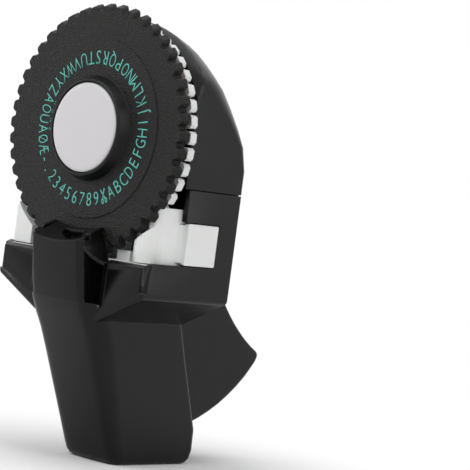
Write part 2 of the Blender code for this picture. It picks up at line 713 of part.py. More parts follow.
def build_chassis():
    """White plate behind the wheels with a floor shelf, a boss and the cartridge post."""
    edge = BODY_HALF - WALL - GAP
    foot = SHELF_TOP - SHELF_T / 2.0
    waist = PLATE_R - PLATE_WAIST
    arch = mirrored([(0.0, PLATE_R)] + arc((0.0, 0.0), PLATE_R, math.pi * 0.48, 0.0, ROUND_STEPS // 2)
                    + [(waist, PLATE_WAIST_Z), (waist, foot)])[:-1]
    frame = slab("chassis_frame", "XZ", [arch], PLATE_Y, PLATE_BACK, WHITE_ACETAL)
    join(frame, box("chassis_shelf", (-edge, SHELF_FRONT, SHELF_TOP - SHELF_T), (edge, PLATE_BACK, SHELF_TOP)))
    join(frame, rod("chassis_boss", "Y", (0.0, 0.0, 0.0), BOSS_R, DIE_Y + DIE_T + GAP, PLATE_BACK - GAP, ROUND_STEPS))
    cut(frame, box("rim_notch", (-GROOVE_IN, SHELF_FRONT - OVERRUN, SHELF_TOP - OVERRUN),
                   (GROOVE_IN, RIM_T + RIM_CLEAR, SHELF_TOP + OVERRUN)))
    cut(frame, rod("axle_hole", "Y", (0.0, 0.0, 0.0), AXLE_R + GAP, 0.0, PLATE_BACK + OVERRUN, ROUND_STEPS))
    cut(frame, box("plunger_hole", (-PLUNGER_HALF - GAP, PLATE_Y - OVERRUN, PLUNGER_LOW - GAP),
                   (PLUNGER_HALF + GAP, PLATE_BACK + OVERRUN, PLUNGER_HIGH + GAP)))
    cut(frame, rod("feed_hole", "Z", (FEED_X, FEED_Y, 0.0), FEED_SHAFT_R + GAP, SHELF_TOP - OVERRUN,
                   SHELF_TOP + OVERRUN, SMALL_STEPS))
    for side in (-1.0, 1.0):
        name = "guide_seat_right" if side > 0.0 else "guide_seat_left"
        low_x, high_x = sorted(((GUIDE_IN - GAP) * side, (BODY_HALF + OVERRUN) * side))
        cut(frame, box(name, (low_x, SHELF_FRONT - OVERRUN, SHELF_TOP), (high_x, PLATE_BACK + OVERRUN, GUIDE_TOP + GAP)))
        cut(frame, rod("screw_hole_right" if side > 0.0 else "screw_hole_left", "Z",
                       (SCREW_X * side, GUIDE_BACK / 2.0, 0.0), SCREW_R + GAP,
                       SHELF_TOP - OVERRUN, SHELF_TOP + OVERRUN, SMALL_STEPS))
    cut(frame, box("feed_window", (FEED_X - FEED_R - GAP, PLATE_Y - OVERRUN, SHELF_TOP),
                   (FEED_X + FEED_R + GAP, PLATE_BACK + OVERRUN, FEED_HIGH + GAP)))
    join(frame, box("tape_stripper", (STRIPPER_IN, STRIPPER_FRONT, SHELF_TOP - SHELF_T / 2.0),
                    (STRIPPER_OUT, STRIPPER_BACK, SHELF_TOP + STRIPPER_RISE)))
    post_front = PLATE_BACK + GAP
    turned("tape_post", "Y", (0.0, 0.0, 0.0), [
        (POST_R - POST_WALL, post_front + POST_L), (POST_R - GAP, post_front + POST_L),
        (POST_R, post_front + POST_L - GAP), (POST_R, post_front), (POST_R - POST_WALL, post_front),
    ], ROUND_STEPS, WHITE_ACETAL, closed=True)


def level_ring(points, height):
    """A level outline from its right-hand half, front to back, whose ends lie on the middle."""
    right = softened(points, GRIP_EDGE, 3)
    ring = right + [(-x, y) for x, y in reversed(right[1:-1])]
    return [(x, y, height) for x, y in ring]


def grip_rings():
    """Level outlines of the grip and, above the groove's end, of the press column."""
    rings = []
    for share, section in zip(reversed(GRIP_SHARES), reversed(GRIP_SECTIONS)):
        front_half, front_y, side_half, side_y, back_y = section
        rings.append(level_ring([
            (0.0, front_y - GRIP_CROWN), (front_half / 2.0, front_y - GRIP_CROWN * 0.75), (front_half, front_y),
            (side_half, side_y), (side_half, back_y), (0.0, back_y),
        ], GROOVE_BOTTOM + share * (GRIP_BOTTOM - GROOVE_BOTTOM)))
    for share, front_y in zip(COLUMN_SHARES, COLUMN_FRONTS):
        crown = GRIP_CROWN * (1.0 - share)
        rings.append(level_ring([
            (0.0, front_y - crown), (GROOVE_IN / 2.0, front_y - crown * 0.75), (GROOVE_IN, front_y),
            (GROOVE_IN, (front_y + COLUMN_BACK) / 2.0), (GROOVE_IN, COLUMN_BACK), (0.0, COLUMN_BACK),
        ], GROOVE_BOTTOM + share * (COLUMN_HEAD - GROOVE_BOTTOM)))
    return rings


def gusset(side):
    """Hollow-backed web from a scoop arm's flank out and down to the front wall, over the groove's top."""
    tag = "_right" if side > 0.0 else "_left"
    rings = []
    for step in range(GUSSET_STEPS + 1):
        share = step / GUSSET_STEPS
        fall = share + GUSSET_HOLLOW_SHARE * 4.0 * share * (1.0 - share) / 2.0
        x = side * (GROOVE_IN - GAP + share * (GUSSET_OUT - GROOVE_IN + GAP))
        front = GUSSET_FRONT + share * (BODY_FRONT + GAP - GUSSET_FRONT)
        high_front = COLUMN_TOP_FRONT - GUSSET_DROP + fall * (FRONT_WALL_TOP - GAP - COLUMN_TOP_FRONT + GUSSET_DROP)
        high_back = COLUMN_TOP_BACK - GUSSET_DROP + fall * (FRONT_WALL_TOP - GAP - COLUMN_TOP_BACK + GUSSET_DROP)
        low = FRONT_WALL_TOP - GUSSET_DROP
        rings.append([(x, front, low), (x, COLUMN_BACK - GAP / 2.0, low), (x, COLUMN_BACK - GAP / 2.0, high_back), (x, front, high_front)])
    return loft("gusset" + tag, rings)


def build_main_body():
    """Black moulded body: wide housing, raked grip and the press column in front of the dial."""
    half = BODY_HALF
    outline = mirrored([(half, SPLIT_Z + LIP_H), (half, BODY_BOTTOM), (FACET_HALF, FACET_BOTTOM)])
    body = slab("main_body", "XZ", [outline], BODY_FRONT, BODY_BACK, BLACK_GLOSS)
    round_edges(body, BODY_FILLET, 3)
    body.modifiers.new("flat_faces", "TRIANGULATE")
    cut(body, slab("front_clear", "YZ", [[
        (BODY_FRONT - OVERRUN, FRONT_WALL_TOP), (BODY_FRONT, FRONT_WALL_TOP),
        (BODY_FRONT + SIDE_DROP, SIDE_WALL_TOP), (CHEEK_FRONT, SIDE_WALL_TOP),
        (CHEEK_FRONT, SPLIT_Z + OVERRUN), (BODY_FRONT - OVERRUN, SPLIT_Z + OVERRUN),
    ]], -half - OVERRUN, half + OVERRUN))
    wide, deep = half + OVERRUN, BODY_BACK + OVERRUN
    lip_half, lip_back = half - LIP_IN, BODY_BACK - LIP_IN
    cut(body, slab("split_step", "XY", [
        [(-wide, BODY_FRONT - 2.0 * OVERRUN), (wide, BODY_FRONT - 2.0 * OVERRUN), (wide, deep), (-wide, deep)],
        [(-lip_half, BODY_FRONT - OVERRUN), (lip_half, BODY_FRONT - OVERRUN), (lip_half, lip_back), (-lip_half, lip_back)],
    ], SPLIT_Z - GAP, SPLIT_Z + OVERRUN))
    cut(body, box("flag_notch", (GUIDE_IN, GUIDE_FRONT, SIDE_WALL_TOP),
                  (half + OVERRUN, FLAG_BACK + GAP, FLAG_TOP + GAP)))
    for side in (-1.0, 1.0):
        tag = "_right" if side > 0.0 else "_left"
        low_x, high_x = sorted(((GROOVE_IN - GAP) * side, GROOVE_OUT * side))
        cut(body, box("groove" + tag, (low_x, BODY_FRONT - OVERRUN, GROOVE_BOTTOM),
                      (high_x, BODY_FRONT + GROOVE_DEPTH, FRONT_WALL_TOP + OVERRUN)))
        low_x, high_x = sorted(((half - CORNER_W) * side, (half + OVERRUN) * side))
        cut(body, box("corner_step" + tag, (low_x, BODY_FRONT - OVERRUN, CORNER_BOTTOM),
                      (high_x, BODY_FRONT + CORNER_DEPTH, FRONT_WALL_TOP + OVERRUN)))
    join(body, loft("grip", grip_rings()))
    cut(body, slab("column_top", "YZ", [[
        (-DIAL_R, COLUMN_TOP_FRONT), (COLUMN_FRONTS[-1], COLUMN_TOP_FRONT), (COLUMN_BACK + GAP, COLUMN_TOP_BACK),
        (GUIDE_BACK, COLUMN_TOP_BACK), (GUIDE_BACK, 0.0), (-DIAL_R, 0.0),
    ]], -GROOVE_IN - GAP, GROOVE_IN + GAP))
    dip_r = (GROOVE_IN ** 2 + COLUMN_DIP ** 2) / (2.0 * COLUMN_DIP)
    cut(body, rod("column_dip", "Y", (0.0, 0.0, COLUMN_TOP_FRONT + dip_r - COLUMN_DIP), dip_r,
                  -DIAL_R, COLUMN_FRONTS[-1] + 3.0 * COLUMN_WALL, FINE_STEPS))
    for side in (-1.0, 1.0):
        join(body, gusset(side))
    carve_scoop(body)
    carve_inside(body)
    add_pivot_ears(body)
    add_hinge_knuckles(body, KNUCKLE_IN + KNUCKLE_L + GAP, KNUCKLE_IN, -1.0)
    smooth(body)
    return body


def carve_scoop(body):
    """Hollow behind the column's top where the chosen character is read, with the anvil's pillar."""
    inner = GROOVE_IN - COLUMN_WALL
    front = COLUMN_FRONTS[-1] + COLUMN_WALL * 2.0
    outline = [(-inner, COLUMN_BACK + OVERRUN), (-inner, front + SCOOP_DIP), (0.0, front), (inner, front + SCOOP_DIP),
               (inner, COLUMN_BACK + OVERRUN), (ANVIL_HALF, COLUMN_BACK + OVERRUN), (ANVIL_HALF, PILLAR_BACK),
               (ANVIL_HALF - SCOOP_DIP, PILLAR_BACK - SCOOP_DIP * 2.0),
               (-ANVIL_HALF + SCOOP_DIP, PILLAR_BACK - SCOOP_DIP * 2.0), (-ANVIL_HALF, PILLAR_BACK),
               (-ANVIL_HALF, COLUMN_BACK + OVERRUN)]
    cut(body, slab("scoop", "XY", [outline], SCOOP_FLOOR, 0.0))
    cut(body, box("scoop_top", (-inner, front + SCOOP_DIP * 2.0, ANVIL_TOP), (inner, COLUMN_BACK + OVERRUN, 0.0)))
    cut(body, box("anvil_seat", (-ANVIL_HALF - GAP, PILLAR_BACK, SCOOP_FLOOR), (ANVIL_HALF + GAP, GAP, 0.0)))


def carve_inside(body):
    """Room for the dial's edge, the shelf, the tape, the plunger and the trigger."""
    inside = BODY_HALF - WALL
    back = BODY_BACK - WALL
    cut(body, box("tape_bay", (-inside, BODY_FRONT + WALL, SHELF_SEAT), (inside, back, SPLIT_Z + OVERRUN)))
    for side in (-1.0, 1.0):
        tag = "_right" if side > 0.0 else "_left"
        pocket = [(side * (CHANNEL_HALF + EAR_T), SHELF_SEAT + OVERRUN), (side * inside, SHELF_SEAT + OVERRUN),
                  (side * inside, BODY_BOTTOM + WALL), (side * (CHANNEL_HALF + EAR_T), FACET_BOTTOM + 2.0 * WALL)]
        cut(body, slab("pocket" + tag, "XZ", [pocket], BODY_FRONT + GROOVE_DEPTH + WALL, back))
    cut(body, slab("channel", "YZ", [[
        (CHANNEL_FRONT, SHELF_SEAT + OVERRUN), (CHANNEL_FRONT, CHANNEL_KNEE), (CHANNEL_FLOOR_Y, CHANNEL_FLOOR),
        (GRIP_REAR - WALL, CHANNEL_FLOOR), (GRIP_REAR - WALL, FAN_GATE_Z),
        (FAN_TOP_Y + FAN_R, FAN_GATE_Z), (FAN_TOP_Y + FAN_R, SLOT_TOP), (back - GAP, SLOT_TOP),
        (back - GAP, SHELF_SEAT + OVERRUN),
    ]], -CHANNEL_HALF, CHANNEL_HALF))


def fan_height(y):
    """Height of the fan's round edge at a depth."""
    return PIVOT_Z - math.sqrt(FAN_R ** 2 - (y - PIVOT_Y) ** 2)


GRIP_REAR = max(section[-1] for section in GRIP_SECTIONS)
FAN_GATE_Z = fan_height(GRIP_REAR - WALL) - GAP


def add_pivot_ears(body):
    """Two ears that hold the ends of the trigger's pin."""
    for side in (-1.0, 1.0):
        tag = "_right" if side > 0.0 else "_left"
        low_x, high_x = sorted((CHANNEL_HALF * side, (CHANNEL_HALF + EAR_T) * side))
        join(body, box("ear" + tag, (low_x, EAR_FRONT, SHELF_SEAT - OVERRUN), (high_x, BODY_BACK - WALL / 2.0, EAR_TOP)))
    reach = CHANNEL_HALF + EAR_T + OVERRUN
    cut(body, rod("pin_hole", "X", (0.0, PIVOT_Y, PIVOT_Z), PIN_R + PIN_CLEAR, -reach, reach, SMALL_STEPS))


def add_hinge_knuckles(obj, knuckle_from, relief_from, side_of_split):
    """Barrels of one leaf of the cover's hinge, and room for the other leaf's barrels."""
    centre = (0.0, BODY_BACK + HINGE_OUT, SPLIT_Z)
    for side in (-1.0, 1.0):
        tag = ("_right" if side > 0.0 else "_left") + ("_upper" if side_of_split > 0.0 else "_lower")
        low_x, high_x = sorted((knuckle_from * side, (knuckle_from + KNUCKLE_L) * side))
        join(obj, rod("knuckle" + tag, "X", centre, KNUCKLE_R, low_x, high_x, SMALL_STEPS))
        low_x, high_x = sorted(((relief_from - GAP) * side, (relief_from + KNUCKLE_L + GAP) * side))
        cut(obj, rod("relief" + tag, "X", centre, KNUCKLE_R + GAP, low_x, high_x, SMALL_STEPS))
    reach = KNUCKLE_IN + 2.0 * KNUCKLE_L + OVERRUN
    name = "hinge_bore_upper" if side_of_split > 0.0 else "hinge_bore_lower"
    cut(obj, rod(name, "X", centre, HINGE_PIN_R + PIN_CLEAR, -reach, reach, SMALL_STEPS))


def hood_rings(wall, front, low):
    """Level outlines of the hood, from its lower edge up to its crown."""
    rings = []
    radius = HOOD_R - wall
    rows = [(low, 1.0)] + [(share * radius, depth_share) for share, depth_share in HOOD_SHARES]
    for height, depth_share in rows:
        half = BODY_HALF - wall
        if height > 0.0:
            half = min(half, math.sqrt(radius ** 2 - height ** 2))
        back = HOOD_FRONT + depth_share * (HOOD_BACK - HOOD_FRONT) - wall
        depth = max(back - HOOD_FRONT, HOOD_CORNER)
        blend = min(max((height - HOOD_BLEND_LOW) / (HOOD_BLEND_HIGH - HOOD_BLEND_LOW), 0.0), 1.0)
        blend = blend * blend * (3.0 - 2.0 * blend)
        corner = HOOD_CORNER - wall / 2.0
        wide = corner + (half * ROUND_SHARE - corner) * blend
        deep = corner + (depth * ROUND_SHARE - corner) * blend
        right = [(half, front)]
        for step in range(CORNER_STEPS + 1):
            angle = math.pi / 2.0 * step / CORNER_STEPS
            right.append((half - wide * (1.0 - math.cos(angle)), back - deep * (1.0 - math.sin(angle))))
        ring = right + [(-x, y) for x, y in reversed(right)]
        rings.append([(x, y, height) for x, y in ring])
    return rings


def build_rear_cover():
    """Hood over the tape bay, hinged at the back of the split line."""
    cover = loft("rear_cover", hood_rings(0.0, HOOD_FRONT, SPLIT_Z), BLACK_GLOSS)
    cut(cover, loft("hood_hollow", hood_rings(HOOD_WALL, HOOD_FRONT - OVERRUN, SPLIT_Z - OVERRUN)))
    profile = [(HOOD_R - MOUTH_IN, HOOD_FRONT - OVERRUN)]
    for share, depth_share in MOUTH_SHARES:
        profile.append((HOOD_R - MOUTH_IN * (1.0 - share), HOOD_FRONT + MOUTH_DEPTH * depth_share))
    profile += [(HOOD_R + OVERRUN, HOOD_FRONT + MOUTH_DEPTH), (HOOD_R + OVERRUN, HOOD_FRONT - OVERRUN)]
    mouth = turned("hood_mouth", "Y", (0.0, 0.0, 0.0), profile, FINE_STEPS, closed=True)
    reach = HOOD_R + 2.0 * OVERRUN
    cut(mouth, box("mouth_low", (-reach, HOOD_FRONT - 2.0 * OVERRUN, -reach), (reach, HOOD_BACK, MOUTH_LOW)))
    cut(cover, mouth)
    lip_half, lip_back = BODY_HALF - LIP_IN + GAP, BODY_BACK - LIP_IN + GAP
    cut(cover, box("lip_room", (-lip_half, CHEEK_FRONT - GAP, SPLIT_Z - OVERRUN), (lip_half, lip_back, SPLIT_Z + LIP_H + GAP)))
    add_hinge_knuckles(cover, KNUCKLE_IN, KNUCKLE_IN + KNUCKLE_L + GAP, 1.0)
    smooth(cover)
    hang_on(cover, COVER_AXIS)
    reach = KNUCKLE_IN + 2.0 * KNUCKLE_L + GAP
    rod("cover_hinge_pin", "X", (0.0, BODY_BACK + HINGE_OUT, SPLIT_Z), HINGE_PIN_R, -reach, reach, SMALL_STEPS, STEEL)


def fan_outline(inset):
    """Side outline of the trigger, drawn in by an inset for its hollow."""
    radius = FAN_R - inset
    tip = (PIVOT_Y + radius * math.cos(FAN_TIP), PIVOT_Z + radius * math.sin(FAN_TIP))
    if inset > 0.0:
        tip = (tip[0] - 2.0 * inset, tip[1])
    top = (FAN_TOP_Y - inset, FAN_TOP_Z - inset)
    reach = radius * math.sin(FAN_FRONT)
    front = FAN_FRONT if inset == 0.0 else FAN_FRONT - 2.0 * inset / FAN_R
    start = math.atan2(tip[1] - PIVOT_Z, tip[0] - PIVOT_Y)
    lower = arc((PIVOT_Y, PIVOT_Z), radius, start, front, FAN_STEPS)
    lower[0] = tip
    edge = [(LEVER_FRONT_Y - inset, PIVOT_Z + HUB_PIVOT_R * math.sin(FAN_FRONT) * 2.0)]
    hub = arc((PIVOT_Y, PIVOT_Z), HUB_PIVOT_R, -math.pi * 0.9, -math.pi * 2.2, FAN_STEPS)
    hub.append((SHOULDER_Y, SHOULDER_Z))
    if inset > 0.0:
        hub = [(LEVER_FRONT_Y - inset, PIVOT_Z - HUB_PIVOT_R - inset), (PIVOT_Y + HUB_PIVOT_R / 2.0, PIVOT_Z - HUB_PIVOT_R - inset),
               (SHOULDER_Y - inset, SHOULDER_Z - inset)]
    rear = bowed(top, tip, -FAN_BULGE, FAN_STEPS)
    corner = softened([rear[-3], tip, lower[2]], TIP_EASE, 5)
    return corner[1:-1] + lower[2:] + edge + hub + rear[:-2]


def build_trigger():
    trigger = slab("trigger", "YZ", [fan_outline(0.0)], -FAN_HALF, FAN_HALF, BLACK_GLOSS)
    round_edges(trigger, FILLET, 2)
    hollow = slab("fan_hollow", "YZ", [fan_outline(FAN_WALL)], -FAN_HALF + FAN_WALL, FAN_HALF - FAN_WALL)
    cut(trigger, hollow)
    for side in (-1.0, 1.0):
        tag = "_right" if side > 0.0 else "_left"
        low_x, high_x = sorted((LEVER_HALF * side, (FAN_HALF + OVERRUN) * side))
        cut(trigger, box("hub_flank" + tag, (low_x, PIVOT_Y - 2.0 * HUB_PIVOT_R, PIVOT_Z - HUB_PIVOT_R),
                         (high_x, PIVOT_Y + HUB_PIVOT_R + GAP, PIVOT_Z + 2.0 * HUB_PIVOT_R)))
    cut(trigger, rod("trigger_bore", "X", (0.0, PIVOT_Y, PIVOT_Z), PIN_R + PIN_CLEAR, -FAN_HALF - OVERRUN,
                     FAN_HALF + OVERRUN, SMALL_STEPS))
    smooth(trigger)
    hang_on(trigger, TRIGGER_AXIS)
    reach = CHANNEL_HALF + EAR_T
    turned("trigger_pin", "X", (0.0, PIVOT_Y, PIVOT_Z), [
        (0.0, reach), (PIN_R - GAP, reach), (PIN_R, reach - GAP), (PIN_R, GAP - reach), (PIN_R - GAP, -reach), (0.0, -reach),
    ], SMALL_STEPS, STEEL)


def build_plunger():
    """Bent slide: the lever pushes its foot, and its nose presses the finger behind the tape."""
    arm_back = PLUNGER_ARM + PLUNGER_ARM_T
    plunger = slab("plunger", "YZ", [[
        (PLUNGER_NOSE, PLUNGER_LOW), (PLUNGER_NOSE, PLUNGER_HIGH), (arm_back, PLUNGER_HIGH), (arm_back, FOOT_HIGH),
        (FOOT_BACK, FOOT_HIGH), (FOOT_BACK, FOOT_LOW), (PLUNGER_ARM, FOOT_LOW), (PLUNGER_ARM, PLUNGER_LOW),
    ]], -PLUNGER_HALF, PLUNGER_HALF, STEEL)
    hang_on(plunger, PLUNGER_LINE)


def build_feed():
    """Rubber roller that moves the tape on, with its shaft and ratchet."""
    centre = (FEED_X, FEED_Y, 0.0)
    hang_on(tube("feed_roller", "Z", centre, FEED_R, FEED_SHAFT_R + GAP, FEED_LOW, FEED_HIGH, SMALL_STEPS,
                 GREY_RUBBER), FEED_AXIS)
    low = RATCHET_TOP - RATCHET_T - GAP
    hang_on(rod("feed_shaft", "Z", centre, FEED_SHAFT_R, low, FEED_HIGH + GAP, SMALL_STEPS, STEEL), FEED_AXIS)
    outline = []
    for tooth in range(RATCHET_TEETH):
        angle = 2.0 * math.pi * tooth / RATCHET_TEETH
        step = 2.0 * math.pi / RATCHET_TEETH
        outline.append((FEED_X + RATCHET_R * math.cos(angle), FEED_Y + RATCHET_R * math.sin(angle)))
        outline.append((FEED_X + RATCHET_ROOT_R * math.cos(angle + step * 0.9),
                        FEED_Y + RATCHET_ROOT_R * math.sin(angle + step * 0.9)))
    bore = arc((FEED_X, FEED_Y), FEED_SHAFT_R + GAP, 0.0, 2.0 * math.pi * 11.0 / 12.0, 11)
    hang_on(slab("feed_ratchet", "XY", [outline, bore], RATCHET_TOP - RATCHET_T, RATCHET_TOP, STEEL), FEED_AXIS)


build_dial_knob()
build_bearing()
build_finger_wheels()
build_chassis()
build_guides()
build_main_body()
build_rear_cover()
build_trigger()
build_plunger()
build_feed()
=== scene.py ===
"""Looks of a hand-held embossing label maker: moulded plastics, hardware, dial characters and studio."""

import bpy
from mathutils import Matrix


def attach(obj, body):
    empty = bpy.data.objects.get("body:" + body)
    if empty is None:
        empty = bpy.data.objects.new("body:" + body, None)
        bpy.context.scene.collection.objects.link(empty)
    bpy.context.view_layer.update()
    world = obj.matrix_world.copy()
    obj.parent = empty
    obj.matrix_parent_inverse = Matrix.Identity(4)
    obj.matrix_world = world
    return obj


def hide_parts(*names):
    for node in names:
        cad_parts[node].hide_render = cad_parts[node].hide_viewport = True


bl_info = {
    "name": "Embossing Label Maker Looks",
    "version": (1, 0, 0),
    "blender": (4, 5, 0),
    "location": "View3D > Sidebar > Label Maker",
    "description": "Dresses a packed embossing label maker and builds its studio",
    "category": "Object",
}

import math

import bmesh
import bpy
from bpy.props import FloatProperty, FloatVectorProperty, IntProperty, PointerProperty
from bpy.types import Operator, Panel, PropertyGroup
from mathutils import Matrix, Vector

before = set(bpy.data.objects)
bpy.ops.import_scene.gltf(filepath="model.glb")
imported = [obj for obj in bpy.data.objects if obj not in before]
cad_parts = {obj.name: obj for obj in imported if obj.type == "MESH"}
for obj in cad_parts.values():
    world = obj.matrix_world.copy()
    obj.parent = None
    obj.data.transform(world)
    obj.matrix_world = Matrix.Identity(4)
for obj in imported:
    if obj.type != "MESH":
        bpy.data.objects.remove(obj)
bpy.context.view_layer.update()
MM = 0.001
DEGREE = math.pi / 180.0

# The CAD pieces by what they are made of
GLOSS_BLACK_PIECES = ("main_body", "rear_cover", "trigger")
GRAIN_BLACK_PIECES = ("dial_knob", "punch_wheel")
WHITE_PIECES = ("chassis_frame", "tape_guide", "exit_guide", "tape_post", "die_wheel")
GREY_PIECES = ("hub_cap",)
ZINC_PIECES = ("dial_axle", "axle_washer", "dial_screw", "trigger_pin", "cover_hinge_pin", "plunger",
               "feed_shaft", "feed_ratchet")
BRASS_PIECES = ("hub_bush",)
SPRING_PIECES = ("cutter_blade",)
RUBBER_PIECES = ("feed_roller",)

# The dial's centre in the frame, and its characters in order
DIAL_CENTRE = Vector((0.0, -28.4 * MM, 92.0 * MM))
DIAL_ORDER = (".", "2", "3", "4", "5", "6", "7", "8", "9", "SCISSORS", "A", "B", "C", "D", "E", "F", "G",
              "H", "I", "J", "K", "L", "M", "N", "O", "P", "Q", "R", "S", "T", "U", "V", "W", "X", "Y", "Z",
              "Ä", "Ö", "Ü", "Å", "Ø", "Æ", "-")
WIDE_CHARACTERS = "MWÆ"

# The largest share of its natural width that a character keeps
WIDTH_KEPT = 0.8
# Height of a capital in a font of size one
FONT_CAPITAL = 0.7

# The scissors sign at a height of one: one half's ring, and its handle with the blade that crosses over
SCISSORS_STEPS = 14
SCISSORS_RING = (0.3, 0.14)
SCISSORS_RADII = (0.21, 0.11)
SCISSORS_BLADE = ((0.26, 0.32), (0.14, 0.28), (-0.4, 1.0), (-0.3, 1.06), (-0.2, 0.96))

# Where the photograph was taken from, about the dial's centre
CAMERA_FROM_DIAL = Vector((406.2 * MM, -388.4 * MM, -8.4 * MM))
CAMERA_TURN = 42.015 * DEGREE
CAMERA_RISE = 1.587 * DEGREE
CAMERA_ROLL = 7.555 * DEGREE
CAMERA_LENS = 155.96
CAMERA_SENSOR = 36.0
CAMERA_NEAR = 10.0 * MM

# Each lamp's name, place in metres, width and height in metres, and power in watts
LAMPS = (
    ("key_softbox", (-0.15, -0.75, 0.75), 0.7, 0.7, 4.4),
    ("side_softbox", (0.85, 0.15, 0.45), 0.5, 0.7, 2.2),
    ("top_softbox", (0.0, 0.1, 0.9), 0.8, 0.8, 2.8),
    ("left_strip", (-0.7, -0.35, 0.1), 0.04, 0.6, 0.6),
    ("right_strip", (0.75, 0.55, 0.12), 0.04, 0.6, 0.6),
    ("front_strip", (0.25, -0.75, 0.5), 0.6, 0.04, 0.6),
)
LAMP_AIM = Vector((0.0, 0.0, 65.0 * MM))

# The floor's half width, how far it lies below the grip, and where it fades into the white background
FLOOR_REACH = 1.5
FLOOR_DROP = 0.2 * MM
FADE_NEAR = 22.0 * MM
FADE_FAR = 95.0 * MM

# The housing's grooves and front walls about the dial's centre, in millimetres
GROOVE_INNER = 10.2
GROOVE_OUTER = 13.9
GROOVE_LOW = -47.1
GROOVE_BACK = 0.3
WALL_FRONT = -3.0
WALL_TOP = -35.5

# The webs that roof the grooves: root at the column, end at the wall, sag between, and room cut below
WEB_ROOT = 9.9
WEB_END = 14.5
WEB_FRONT_ROOT = -8.8
WEB_FRONT_END = -2.7
WEB_HIGH_FRONT = -31.9
WEB_HIGH_BACK = -27.9
WEB_HIGH_END = -35.8
WEB_BACK = -1.65
WEB_SAG = 0.68
WEB_ROOM = 3.0
WEB_STEPS = 8

# The round edges beside the grooves, and the seats cut for them
EDGE_WIDTH = 0.9
EDGE_FLAT = 0.2
EDGE_BACK = 0.2
EDGE_FOOT = 0.05
EDGE_STEPS = 10
SEAT_MARGIN = 0.4
SEAT_BACK = -1.2
SEAT_DROP = 0.2

# The press column: half width, dipped rim, and its front's depth at some heights
COLUMN_SIDE = 10.2
COLUMN_TOP = -30.2
COLUMN_DIP = 1.1
COLUMN_FRONTS = ((-46.99, -6.75), (-45.84, -6.95), (-42.96, -7.75), (-38.08, -8.75), (-31.87, -9.9),
                 (-25.0, -11.2))
FACET_FOOT = 0.5
FACET_MARGIN = 1.0

# The column's hollow top, with the window on to the character
DISH_FRONT = -10.0
DISH_BACK = -1.7
DISH_TOP = -26.25
DISH_SAG = 1.2
DISH_GAP = 0.25
DISH_LIFT = 0.03
DISH_INSET = 0.5
DISH_ACROSS = 24
DISH_ALONG = 14
WINDOW_OUTLINE = ((-3.0, -3.5), (-1.5, -6.0), (4.3, -9.5), (8.4, -8.2), (5.7, -5.0), (3.5, -3.0))
WINDOW_HEIGHTS = (-36.0, -20.0)

# The bead on the column's rim, which follows the crown of the column's front
BEAD_END = 0.85
BEAD_SET = 0.75
BEAD_CROWN = 0.2
BEAD_STEPS = 24
BEAD_ROUND_STEPS = 12

# The tape guide's block about the dial's centre, in millimetres
GUIDE_INNER = 20.0
GUIDE_OUTER = 26.9
GUIDE_FRONT = -0.4
GUIDE_LOW = -36.0
GUIDE_HIGH = -17.0
GUIDE_INNER_ROUND = 1.6
CORNER_MARGIN = 0.5
CORNER_STEPS = 16

# How close two points are joined in a copied mesh and in a carved one, and which edges stay sharp
COPY_WELD = 0.001 * MM
CARVED_WELD = 0.002 * MM
SHARP_ANGLE = 28.0 * DEGREE

# Spacings of the surfaces' patterns in millimetres
ORANGE_PEEL = 2.6
GLOSS_HAZE = 9.0
MOULD_FLOW = 12.0
RUBBER_DUST = 0.6
FOIL_COVER = 0.5
BOARD_ROLLER = 3.0

# These are some hundredths of a millimetre in the real surfaces, and are drawn coarser so that they show
ETCHED_PITS = 0.25
BLASTED_SKIN = 0.4
ERODED_SPECK = 0.35
ZINC_STREAK = 0.5
ROLLING_GRAIN = 0.3
TURNING_LINES = 0.4

# Over how many millimetres the dial's grain fades in round the polished hub
GRAIN_FADE = 0.6
BEVEL_SAMPLES = 6


def linear(hex_colour):
    """An sRGB hex colour as the linear values that the shaders take."""
    channels = [int(hex_colour[i:i + 2], 16) / 255.0 for i in (1, 3, 5)]
    return [c / 12.92 if c <= 0.04045 else ((c + 0.055) / 1.055) ** 2.4 for c in channels]


def per_mm(size_mm):
    """A pattern's scale in metres of object space, from its real spacing in millimetres."""
    return 1.0 / (size_mm * MM)


